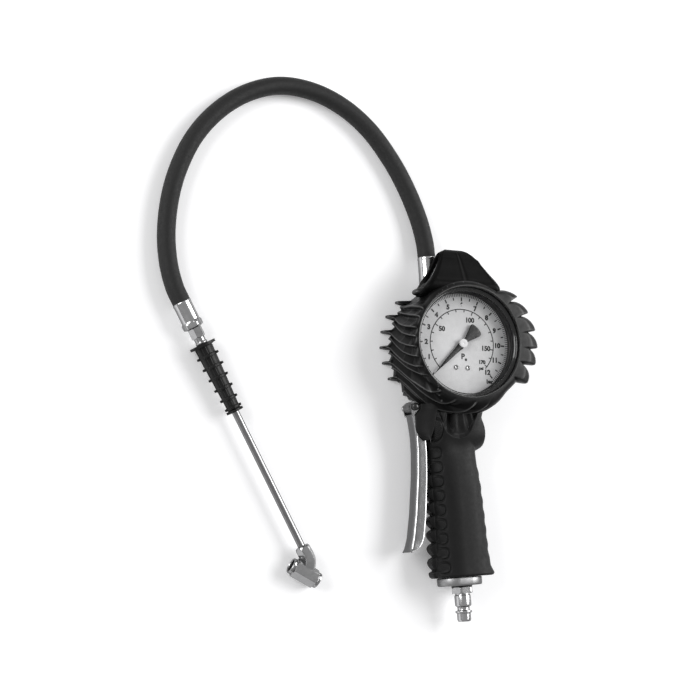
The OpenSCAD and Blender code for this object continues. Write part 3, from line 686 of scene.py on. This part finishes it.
def tick(angle, r0, r1, width):
    d = np.array([math.cos(angle), math.sin(angle)])
    n = np.array([-d[1], d[0]]) * width / 2
    return [(*(d * r0 - n), 0), (*(d * r1 - n), 0), (*(d * r1 + n), 0), (*(d * r0 + n), 0)], [(0, 1, 2, 3)]


def arc(radius, width, a0, a1, steps=120):
    angle = np.linspace(a0, a1, steps)
    ring = np.column_stack([np.cos(angle), np.sin(angle), 0 * angle])
    verts = np.vstack([ring * (radius - width / 2), ring * (radius + width / 2)])
    return verts, [(i, i + steps, i + steps + 1, i + 1) for i in range(steps - 1)]


def words(text, size, x, y, bold):
    """Flat letters at a place on the dial, as vertices and faces."""
    data = bpy.data.curves.new("words", "FONT")
    data.body, data.size = text, size
    data.align_x, data.align_y = "CENTER", "CENTER"
    data.offset = bold
    obj = bpy.data.objects.new("words", data)
    mesh = obj.to_mesh()
    verts = [(v.co.x + x, v.co.y + y, 0) for v in mesh.vertices]
    faces = [tuple(p.vertices) for p in mesh.polygons]
    obj.to_mesh_clear()
    bpy.data.objects.remove(obj)
    bpy.data.curves.remove(data)
    return verts, faces


def at_polar(angle, r):
    return r * math.cos(angle), r * math.sin(angle)


def dial_print():
    """Scale in bar outside and in psi inside, with their numbers and units."""
    parts = [arc(25.2, 0.7, bar_angle(0), bar_angle(11.9))]
    for k in range(121):
        a = bar_angle(k / 10)
        parts.append(tick(a, 34.6, 36.7, 0.5))
    for k in range(25):
        whole = k % 2 == 0
        parts.append(tick(bar_angle(k / 2), 31.2 if whole else 31.9, 34.0, 1.05 if whole else 0.8))
    for psi in range(0, 171, 10):
        a = bar_angle(psi / PSI_PER_BAR)
        parts.append(tick(a, 23.2 if psi % 50 else 22.4, 25.2, 0.75))
    for bar in range(1, 13):
        parts.append(words(str(bar), 4.8, *at_polar(bar_angle(bar), 28.3), 0.3))
    for psi, r in ((50, 18.8), (100, 18.6), (150, 19.2), (170, 20.3)):
        size = 4.8 if psi < 170 else 3.6
        parts.append(words(str(psi), size, *at_polar(bar_angle(psi / PSI_PER_BAR), r), 0.26))
    parts.append(words("psi", 3.2, 15.2, -17.2, 0.18))
    parts.append(words("bar", 4.0, 21.9, -26.6, 0.22))
    parts.append(words("P", 5.4, 0.6, -9.3, 0.25))
    parts.append(words("e", 3.4, 3.0, -11.2, 0.2))
    verts, faces = join_meshes(parts)
    verts[:, 2] = DIAL_Z + 0.06
    return make("dial_print", verts, faces, "inflator", PRINT, (), GAUGE, sharp=None)


def dial_plate():
    profile = rounded([(2.6, DIAL_Z - 0.6), (2.6, DIAL_Z), (DIAL_R - 0.3, DIAL_Z), (DIAL_R, DIAL_Z - 0.3),
                       (DIAL_R, DIAL_Z - 0.6)], 0.15)
    surface("dial_plate", lathe(profile, 180), "inflator", DIAL, ["dial"], GAUGE)


def dial_screw_heads():
    parts = []
    for x in (-4.6, 4.6):
        profile = rounded([(0.01, DIAL_Z + 0.35), (0.8, DIAL_Z + 0.35), (1.05, DIAL_Z + 0.75),
                           (1.7, DIAL_Z + 0.75), (1.75, DIAL_Z)], 0.2)
        points = lathe(profile, 48)
        points[..., 0] += x
        points[..., 1] += -17.3
        parts.append((points.reshape(-1, 3), grid_faces(*points.shape[:2])))
    verts, faces = join_meshes(parts)
    make("dial_screw_heads", verts, faces, "inflator", STEEL, ["dial_screws"], GAUGE)


def pointer():
    """Slim blade with a fan-shaped tail, and a white hub."""
    turn = math.radians(225)
    d, n = np.array([math.cos(turn), math.sin(turn)]), np.array([-math.sin(turn), math.cos(turn)])
    half = [(-16.3, 3.4), (-16, 4.4), (-15, 5.2), (-13.8, 5.4), (-8, 3.3), (-3.4, 1.6), (0, 2.2),
            (3.4, 2.6), (5, 2.2), (10, 1.75), (18, 1.25), (26, 0.6), (32, 0.12)]
    rows = []
    for a, w in half:
        bow = 0.7 * (1 - (w / 5.6) ** 2) if a < -12 else 0
        ridge = 0.5 if a > -3 else 0.25
        across = [(-1, 0), (-0.93, ridge * 0.35), (0, ridge), (0.93, ridge * 0.35), (1, 0), (0, -0.15)]
        rows.append([(*(d * (a - bow * (1 - abs(u))) + n * u * w), POINTER_Z + h) for u, h in across])
    surface("pointer_blade", np.array(rows), "pointer_arbor", POINTER, ["pointer"], GAUGE,
            caps=True, sharp=40)
    hub = rounded([(r, POINTER_Z + h) for r, h in ((1.0, -0.6), (3.2, -0.5), (3.25, 1.2), (2.9, 1.5),
                                                   (0.75, 1.5), (0.6, 1.2), (0.01, 1.2))], 0.2)
    surface("pointer_hub", lathe(hub, 72), "pointer_arbor", HUB, (), GAUGE)


def bezel():
    """Glossy stepped ring in front of the glass, and the dark wall behind the glass."""
    ring = rounded([(39.6, 30), (40.25, 30.2), (40.25, 36.2), (39.7, 36.6), (38.9, 36.6), (38.6, 36.0),
                    (37.9, 35.9), (37.5, 35.5), (37.15, 35.3), (37.1, 34.6)], 0.25)
    surface("bezel_ring", lathe(ring, 240), "inflator", BEZEL, ["gauge_bezel"], GAUGE, sharp=60)
    wall = rounded([(37.3, 32.9), (37.6, 32.6), (37.9, 31), (38.2, 28), (38.1, 26.4), (37.6, 26.1),
                    (37.25, 26.0), (37.05, 25.9), (37.05, 25.2)], 0.25)
    surface("dial_well", lathe(wall, 240), "inflator", CASE, (), GAUGE, sharp=60)


dial_plate()
dial_print()
dial_screw_heads()
pointer()
bezel()


# ---------- grip ----------

GRIP_Y = [-45, -49, -55, -62, -70, -78, -88, -100, -118, -136, -150, -158, -166.2]
GRIP_LEFT = [-17, -19, -21, -22, -21.5, -20.5, -19.8, -19, -18.8, -19.2, -19.6, -20, -20.8]
GRIP_RIGHT = [25.5, 24, 22, 20.2, 17.4, 16.4, 16.6, 17.9, 19, 19.8, 20.4, 21.4, 24]
GRIP_FRONT = [34, 33.8, 33.2, 32, 29.8, 29.2, 29.8, 30.1, 30.3, 30.5, 30.7, 31, 31.6]
GRIP_BACK = [0.6, 0.6, 0.8, 1.2, 1.8, 2.2, 2.3, 2.0, 1.8, 1.6, 1.3, 0.9, 0.2]
LOBE_PITCH = 9.75
LOBE_FIRST = -92.6
PAD_X, PAD_FIRST, PAD_PITCH, PAD_HALF = -17.6, -78.2, 10.15, 3.5
# Slits beside the finger rest: where each starts and ends, and its half width
SLITS = [(-22.0, -62, -20.4, -77.5, 1.25), (-22.0, -81, -21.0, -88.5, 1.35)]
# Rim of the scoop under the boot
U_RIM = [(-14.8, -49), (-13.8, -54), (-12.2, -60), (-9.4, -64.6), (-5.0, -67.6), (0.5, -68.7), (5.4, -67.6),
         (9.4, -63.8), (12.0, -58), (14.8, -52), (16, -48)]


def scallops(y):
    """Finger lobes down the lever's side: sharp above, easy below."""
    phase = (LOBE_FIRST - y) / LOBE_PITCH
    p = phase - np.floor(phase)
    shape = np.sin(math.pi * p ** 0.72) ** 0.8
    return shape * smooth(phase, -0.6, 0.2) * (1 - smooth(phase, 7.05, 7.4) * 0.4)


def pads(x, y):
    """Rounded pads down the front, beside the lobes: +1 on a pad, -1 in the crease round it."""
    out = np.zeros_like(x)
    for k in range(9):
        off_x = np.abs(x - PAD_X) / PAD_HALF
        off_y = np.abs(y - PAD_FIRST + PAD_PITCH * k) / PAD_HALF
        near = (off_x ** 2.6 + off_y ** 2.6) ** (1 / 2.6)
        out += 1 - smooth(near, 0.86, 1.05) - 0.9 * bump(near, 1.16, 0.26)
    return out


def throat(x, y):
    """1 inside the U-shaped scoop under the boot, 0 outside, with a soft edge."""
    rim = np.array(U_RIM)
    bottom = np.interp(x, rim[:, 0], rim[:, 1], left=-40, right=-40)
    return smooth(y - bottom, -0.3, 3.6)


def scoop(x, y):
    """Height of the scoop, its pleats and raised rim, and the soft hollow under it."""
    inside = throat(x, y)
    pleat = 0.9 * np.cos((x + 0.03 * (y + 50) * x) / 3.1 * math.pi) * smooth(y, -66, -58)
    deep = 2.3 + 4.5 * bump(x, -5.5, 3.6) * smooth(y, -66, -60)
    rim = 0.5 * bump(inside, 0.04, 0.12) * smooth(-y, 50, 53)
    hollow = 1.1 * bump(y, -75, 9) * bump(x, 0, 15)
    return rim - hollow - inside * (deep + pleat)


def finger_rest(x, y):
    """Height of the pebbled oval rest, with a groove round it."""
    oval = np.hypot((x + 17.3) / 4.4, (y + 61.8) / 7.9)
    pebbles = np.cos(x * 4.2 + 0.8 * np.sin(y * 2)) * np.cos(y * 4.2 + 0.8 * np.sin(x * 2))
    raised = 0.9 * (1 - smooth(oval, 0.75, 1.05)) + 0.22 * pebbles * (1 - smooth(oval, 0.7, 0.9))
    return raised - 0.9 * bump(oval, 1.08, 0.16)


def slits(x, y):
    """Depth of the narrow slits."""
    out = np.zeros_like(x)
    for x0, y0, x1, y1, wide in SLITS:
        t = np.clip((y0 - y) / (y0 - y1), 0, 1)
        line = x0 + (x1 - x0) * t + 0.455 * np.sin(t * math.pi * 2)
        gap = np.abs(x - line) / (wide * np.sqrt(np.clip(1.02 - (2 * t - 1) ** 2, 0.02, 1)))
        out += 5.0 * (1 - smooth(gap, 0.6, 1.15)) * ((y < y0) & (y > y1))
    return out


def grip_sides(x, y, z, angle):
    """Moves the sides out to the finger lobes, the waves on the spine and the valve's boss."""
    toward_left = smooth(-np.cos(angle), 0.45, 0.95)
    toward_right = smooth(np.cos(angle), 0.5, 0.95)
    middle = (1 - smooth(np.abs(z - AXIS_Z), 3.6, 5.2)) * (np.cos(angle) < 0)
    x = x - (1.1 * toward_left + 3.5 * middle) * scallops(y)
    waves = 0.5 + 0.5 * np.cos((y + 103) / 10.2 * 2 * math.pi)
    x += 0.6 * waves * toward_right * smooth(-y, 80, 96)
    boss = np.hypot(y - VALVE_Y, z - AXIS_Z)
    return x + np.clip(22.6 - x, 0, None) * (1 - smooth(boss, 10.4, 14.5)) * (x > 0)


def grip_relief(x, y):
    """Height of the front face's relief; its flank on the lever's side is a little lower."""
    flank = 1.1 * smooth(-x, 2, 17) * smooth(-y, 70, 78)
    return 0.75 * pads(x, y) * smooth(-x, 11, 13) - flank + scoop(x, y) + finger_rest(x, y) - slits(x, y)


def grip_section(values, y):
    """One side of the grip's plain form, at each y."""
    order = np.argsort(GRIP_Y)
    dense = flat_spline(np.column_stack([GRIP_Y, values])[order], 400)
    return np.interp(y, dense[:, 0], dense[:, 1])


def grip():
    rows, cols = 470, 360
    y = np.linspace(GRIP_Y[0], GRIP_Y[-1], rows)
    angle = np.linspace(0, 2 * math.pi, cols, endpoint=False)
    yy, aa = np.meshgrid(y, angle, indexing="ij")
    left, right = grip_section(GRIP_LEFT, yy), grip_section(GRIP_RIGHT, yy)
    front, back = grip_section(GRIP_FRONT, yy), grip_section(GRIP_BACK, yy)
    xc, zc = (left + right) / 2, (front + back) / 2
    x = xc + (right - left) / 2 * power(np.cos(aa), 2.9)
    z = zc + (front - back) / 2 * power(np.sin(aa), 2.7)
    x = grip_sides(x, yy, z, aa)
    z += grip_relief(x, yy) * smooth(np.sin(aa), 0.2, 0.7)
    # rolled lower edge, and the underside
    roll = 1 - smooth(yy, GRIP_Y[-1], GRIP_Y[-1] + 1.8)
    x -= (x - xc) * 0.05 * roll ** 2
    z -= (z - zc) * 0.05 * roll ** 2
    points = np.stack([x, yy, z], -1)
    end, middle = points[-1], np.array([xc[-1, 0], y[-1], zc[-1, 0]])
    under = [middle + (end - middle) * k + (0, d, 0) for k, d in ((0.93, -0.15), (0.75, 0.1), (0.5, 0.3))]
    points = np.concatenate([points, under])
    return surface("grip_moulded", points, "inflator", GRIP, ["grip_sleeve"], sharp=None, caps=True)


def flap():
    """Tongue of the grip that lies over the top of the lever."""
    ys = np.linspace(-42.5, -68.6, 60)
    left = np.interp(-ys, [42.5, 46, 48.5, 51, 60, 63, 66, 68.6],
                     [-25.6, -26.2, -28.6, -30.4, -30.8, -30.0, -27.6, -24.4])
    right = np.interp(-ys, [42.5, 60, 68.6], [-14, -18.5, -22.6])
    rows = []
    for y, a, b in zip(ys, left, right):
        t = np.linspace(0, 1, 26)
        x = a + (b - a) * t
        top = 24.6 + 4.6 * smooth(t, 0, 1) + 0.5 * np.sqrt(np.clip(1 - (1 - t * 6).clip(0, 1) ** 2, 0, 1))
        low = np.full(26, 23.75)
        upper = np.column_stack([x, np.full(26, y), top])
        lower = np.column_stack([x[::-1], np.full(26, y), low])
        rows.append(np.vstack([upper, lower]))
    return surface("grip_flap", np.array(rows), "inflator", GRIP, (), caps=True, sharp=60)


grip()
flap()


# ---------- lever ----------

# The web's outer face and the flanges' depth, from the pivot along the lever
WEB_AT = [5, 12, 21, 32, 49, 76, 93, 103]
WEB_OUT = [-1.9, -0.4, 1.0, 1.7, 1.6, 0.0, -2.0, -4.4]
FLANGE_AT = [5.5, 12, 20, 30, 50, 80, 92, 97, 99.5, 101, 102, 103]
FLANGE_DEEP = [6.4, 6.6, 6.8, 7.0, 7.3, 8.0, 8.2, 7.5, 6.2, 4.4, 1.6, 0.6]


def lever():
    """Pressed channel: web, rolled flanges, flared tip and ears."""
    top, tip_start, bend = 5.5, 90, 2.2
    rows = []
    stations = [np.linspace(top, tip_start, 86), np.linspace(tip_start + 0.5, LEVER_LEN, 40)]
    for along in np.concatenate(stations):
        out = np.interp(along, WEB_AT, WEB_OUT)
        deep = np.interp(along, FLANGE_AT, FLANGE_DEEP)
        wide = LEVER_HALF + 0.9 * smooth(along, 94, 104)
        r = min(bend, deep * 0.6)
        quarter = np.linspace(0, math.pi / 2, 8)
        low = [(deep + (r - deep) * t, -wide) for t in np.linspace(0, 1, 7)]
        low += [(r - r * math.sin(a), -wide + r - r * math.cos(a)) for a in quarter[1:]]
        web = [(0.3 * (1 - (z / (wide - r)) ** 2), z) for z in np.linspace(-wide + r, wide - r, 13)[1:-1]]
        high = [(x, -z) for x, z in reversed(low)]
        rows.append([(out + x, -along, z) for x, z in low + web + high])
    obj = surface("lever_pressed", np.array(rows), "lever_arm", STEEL, ["lever"], LEVER,
                  wrap_cols=False, sharp=50)
    thicken(obj, SHEET)
    ears()


def thicken(obj, thickness):
    """Gives a sheet its thickness, with softened edges."""
    solid = obj.modifiers.new("sheet", "SOLIDIFY")
    solid.thickness = thickness * MM
    solid.offset = 1
    solid.use_even_offset = True
    edge = obj.modifiers.new("edge", "BEVEL")
    edge.width = 0.25 * MM
    edge.segments = 2
    edge.limit_method = "ANGLE"
    edge.angle_limit = math.radians(50)


def plate(outline, z0, z1):
    """A flat plate from an outline in its own plane."""
    n = len(outline)
    verts = [(x, y, z) for z in (z0, z1) for x, y in outline]
    faces = [tuple(reversed(range(n))), tuple(range(n, 2 * n))]
    faces += [(i, (i + 1) % n, n + (i + 1) % n, n + i) for i in range(n)]
    return verts, faces


def ears():
    """The lever's two ears, which take the pin."""
    outline = [(3.4 * math.cos(a), 3.4 * math.sin(a)) for a in np.linspace(-0.4, math.pi + 0.35, 20)]
    outline += [(-1.9, -6.5), (5.6, -6.5)]
    parts = [plate(outline, z0, z0 + SHEET) for z0 in (-LEVER_HALF, LEVER_HALF - SHEET)]
    verts, faces = join_meshes(parts)
    make("lever_ears", verts, faces, "lever_arm", STEEL, (), LEVER, sharp=30)


def pin_knob():
    """Blacked pin with a domed head, and the small coil that holds it at the back."""
    head = rounded([(0.01, 6.9), (1.5, 6.9), (1.5, 23.2), (2.75, 23.25), (2.9, 24.2), (2.3, 25.2),
                    (1.2, 25.75), (0.01, 25.9)], 0.4)
    place = Place((PIVOT[0], PIVOT[1], 0), (0, 0, 1), (1, 0, 0))
    surface("pin_knob", lathe(head, 64), "inflator", PIN_BLACK, ["lever_pin"], place)
    coil = []
    turns, steps, coil_r = 3.5, 120, 2.5
    for k in range(steps):
        a = 2 * math.pi * turns * k / steps
        x, y = coil_r * math.cos(a) + PIVOT[0], coil_r * math.sin(a) + PIVOT[1]
        coil.append((x, y, 5.6 + 2.6 * k / steps))
    surface("pin_coil", sweep_any(np.array(coil), 0.4, 10), "inflator", STEEL, ["pin_clip"],
            caps=True)


def sweep_any(path, radius, cols):
    """Rings round any path, carried along it without twist."""
    t = np.gradient(path, axis=0)
    t /= np.linalg.norm(t, axis=1)[:, None]
    side = np.cross(t[0], [0, 0, 1.0])
    rings = []
    angle = np.linspace(0, 2 * math.pi, cols, endpoint=False)
    for p, d in zip(path, t):
        side = unit(side - d * np.dot(side, d))
        up = np.cross(d, side)
        rings.append(p + radius * (np.outer(np.cos(angle), side) + np.outer(np.sin(angle), up)))
    return np.array(rings)


def valve_stem():
    """Turned stem whose rounded end waits just behind the lever's web."""
    place = Place((0, VALVE_Y, AXIS_Z), (-1, 0, 0), (0, 0, 1))
    profile = rounded([(0.01, 3.0), (1.2, 3.0), (2.0, 3.8), (2.0, 14.0), (1.6, 14.4), (1.6, 15.2),
                       (2.0, 15.6), (2.0, 25.6), (1.4, 26.6), (0.01, 26.9)], 0.3)
    surface("valve_stem_turned", lathe(profile, 48), "valve", BRASS, ["valve_stem"], place)


lever()
pin_knob()
valve_stem()


# ---------- end cap and plug ----------

def end_cap():
    """Oval washer under the grip."""
    cols = 128
    angle = np.linspace(0, 2 * math.pi, cols, endpoint=False)
    shift = 4.0 * np.sign(np.cos(angle))
    rows = []
    for grow, y in ((-6.2, -166.6), (-0.5, -166.6), (-0.1, -166.9), (0, -167.4), (0, -171.2),
                    (-0.25, -171.9), (-0.7, -172.4), (-5.6, -172.5)):
        r = 12.5 + grow
        rows.append(np.column_stack([-1.5 + shift * (r / 12.5) + r * np.cos(angle), np.full(cols, y),
                                     AXIS_Z + r * np.sin(angle)]))
    surface("end_cap_turned", np.array(rows), "inflator", CAP, ["end_cap"], sharp=40)


def plug():
    """DN 7.2 plug: a hexagon, a body, and the tip with its collar."""
    hexed = rounded([(6.0, 173.5), (7.6, 173.6), (8.0, 174.2), (8.0, 177.4), (7.5, 178), (5.5, 178.1)], 0.3)
    surface("plug_hexagon", lathe(hexed, 96, flats=14), "inflator", NICKEL, ["inlet_plug"], HANDLE,
            caps=True, sharp=30)
    body = rounded([(5.3, 177.5), (5.3, 179.0), (5.9, 179.4), (5.9, 186.2), (5.5, 187.0), (4.5, 187.6),
                    (4.4, 188.0), (4.4, 189.6), (4.7, 190.0), (5.75, 190.1), (6.0, 190.35), (6.0, 191.5),
                    (5.7, 191.8), (5.1, 192.0), (5.0, 192.3), (5.0, 196.6), (4.4, 197.8), (3.9, 198.0),
                    (3.2, 198.0), (3.0, 197.7), (3.0, 188)], 0.3)
    surface("plug_body", lathe(body, 128), "inflator", CHROME, (), HANDLE, sharp=50)


end_cap()
plug()


# ---------- lance ----------

def lance_nut():
    """Small hexagon nut and neck between the hose's ferrule and the lance's grip."""
    hexed = rounded([(3.5, 19.6), (4.6, 19.7), (5.2, 20.2), (5.2, 26.4), (4.7, 27.0), (3.8, 27.1)], 0.3)
    surface("nut_hexagon", lathe(hexed, 96, flats=9), "inflator", NICKEL, ["lance_nut"], LANCE,
            caps=True, sharp=30)
    neck = rounded([(3.6, 26.8), (3.9, 27.2), (3.9, 30.2), (4.3, 30.6), (4.3, 31.6), (3.4, 32.4)], 0.3)
    surface("nut_neck", lathe(neck, 64), "inflator", NICKEL, (), LANCE, caps=True)


def lance_grip():
    """Moulded grip: a cone with windows between ribs, and seven flanges."""
    at = [0.9 + k * 8.15 for k in range(6)] + [LANCE_GRIP_LEN - 3.4, LANCE_GRIP_LEN - 0.9]
    size = [8.5, 8.2, 7.9, 7.4, 7.0, 6.5, 6.2, 6.2]
    cols = 160
    s = np.linspace(0, LANCE_GRIP_LEN, 330)
    angle = np.linspace(0, 2 * math.pi, cols, endpoint=False)
    ss, aa = np.meshgrid(s, angle, indexing="ij")
    cone = 6.6 + (4.4 - 6.6) * ss / LANCE_GRIP_LEN
    rib = smooth(np.cos(4 * (aa - RIB_TURN)), 0.3, 0.65)
    r = cone - 1.5 * (1 - rib)
    for k, (where, big) in enumerate(zip(at, size)):
        wide = 1.3 if k == 0 else 0.95
        knob = 0.75 if 0 < k else 1.0
        round_knob = knob + (1 - knob) * smooth(np.cos(4 * (aa - RIB_TURN)), -0.3, 0.5)
        flange = (1 - smooth(np.abs(ss - where), wide * 0.75, wide * 1.25))
        r = np.maximum(r, cone - 0.6 + (big * round_knob - cone + 0.6) * flange)
    sideways = 1 + 0.12 * (r > 8.2)
    points = np.stack([r * np.cos(aa), r * sideways * np.sin(aa), LANCE_GRIP_START + ss], -1)
    surface("lance_grip_moulded", points, "inflator", LANCE_RUBBER, ["lance_grip"], LANCE,
            caps=True, sharp=None)


def chuck_barrel():
    """Hexagonal barrel across the end of the lance, with a mouth at each end."""
    half = [(4.1, 5.5), (4.1, 10.9), (4.5, 11.5), (5.2, 11.5), (5.7, 11.1), (5.7, 9.6), (5.5, 9.4),
            (5.5, 9.0), (6.9, 8.6), (6.9, 0)]
    profile = rounded(half + [(r, -z) for r, z in reversed(half[:-1])], 0.25, 2)
    surface("chuck_barrel", lathe(profile, 96, flats=12), "inflator", NICKEL, ["chuck_head"],
            CHUCK, sharp=28)


def chuck_neck():
    """Forged neck that bends from the tube into the barrel."""
    end = np.array(CHUCK_CENTRE) - CHUCK.z * 0.5
    start, bend, past = (LANCE.o + LANCE.z * (NECK_START + more) for more in (0, 10, 14))
    elbow = spline([start, bend, (end + past) / 2, end], 40)
    angle = np.linspace(0, 2 * math.pi, 72, endpoint=False)
    rings = []
    along = np.gradient(elbow, axis=0)
    along /= np.linalg.norm(along, axis=1)[:, None]
    for k, (p, d) in enumerate(zip(elbow, along)):
        share = k / (len(elbow) - 1)
        side = unit(np.cross([0, 0, 1.0], d))
        up = np.cross(d, side)
        r = np.interp(share, [0, 0.02, 0.07, 0.1, 0.6, 1.0], [3.2, 4.6, 5.2, 5.6, 5.9, 5.9])
        rr = np.minimum(r, hexagon(angle, 9.8 + 0.8 * share))
        rings.append(p + np.outer(np.cos(angle) * rr, up) + np.outer(np.sin(angle) * rr, side))
    surface("chuck_neck", np.array(rings), "inflator", NICKEL, (), caps=True, sharp=25)


lance_nut()
lance_grip()
chuck_barrel()
chuck_neck()


# ---------- CAD nodes that stay ----------

KEPT = {
    "body_casting": CAST, "plug_seal": SEAL, "lever_spring": STEEL,
    "stem_seal": SEAL, "stem_gland": BRASS, "valve_spring": STEEL, "valve_cap": BRASS, "cap_seal": SEAL,
    "gauge_case": CASE, "gauge_socket": BRASS, "gauge_lens": GLASS, "lens_gasket": SEAL,
    "movement_plates": BRASS, "plate_screws": STEEL, "pinion": BRASS, "sector_gear": BRASS, "link": STEEL,
    "bourdon_tube": BRASS, "outlet_fitting": NICKEL, "lance_tube": TUBE, "chuck_seals": SEAL,
    "chuck_pin_left": BRASS, "chuck_pin_right": BRASS, "chuck_spring_left": STEEL,
    "chuck_spring_right": STEEL,
}
for node, look in KEPT.items():
    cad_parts[node].data.materials.clear()
    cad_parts[node].data.materials.append(look)


# ---------- floor and light ----------

def floor():
    mesh = bpy.data.meshes.new("floor")
    half_m = 4.0
    corners = [(x * half_m, y * half_m, 0) for x, y in ((-1, -1), (1, -1), (1, 1), (-1, 1))]
    mesh.from_pydata(corners, [], [(0, 1, 2, 3)])
    mesh.materials.append(floor_look())
    obj = bpy.data.objects.new("floor", mesh)
    bpy.context.scene.collection.objects.link(obj)
    obj.location.z = -0.0002


def area_light(name, at, toward, size, power_w):
    data = bpy.data.lights.new(name, "AREA")
    data.shape, data.size, data.energy = "SQUARE", size, power_w
    obj = bpy.data.objects.new(name, data)
    bpy.context.scene.collection.objects.link(obj)
    obj.location = at
    obj.rotation_euler = (Vector(toward) - Vector(at)).to_track_quat("-Z", "Y").to_euler()


def lights():
    world = bpy.data.worlds.new("studio")
    world.use_nodes = True
    sky = world.node_tree.nodes["Background"]
    sky.inputs["Color"].default_value = (1, 1, 1, 1)
    sky.inputs["Strength"].default_value = 0.33
    bpy.context.scene.world = world
    middle = (-0.05, 0, 0)
    area_light("key", (1.3, 0.3, 1.05), middle, 1.2, 31)
    area_light("fill", (-1.35, 0.45, 0.85), middle, 0.9, 15)


floor()
lights()
bpy.context.scene.view_settings.view_transform = "Standard"
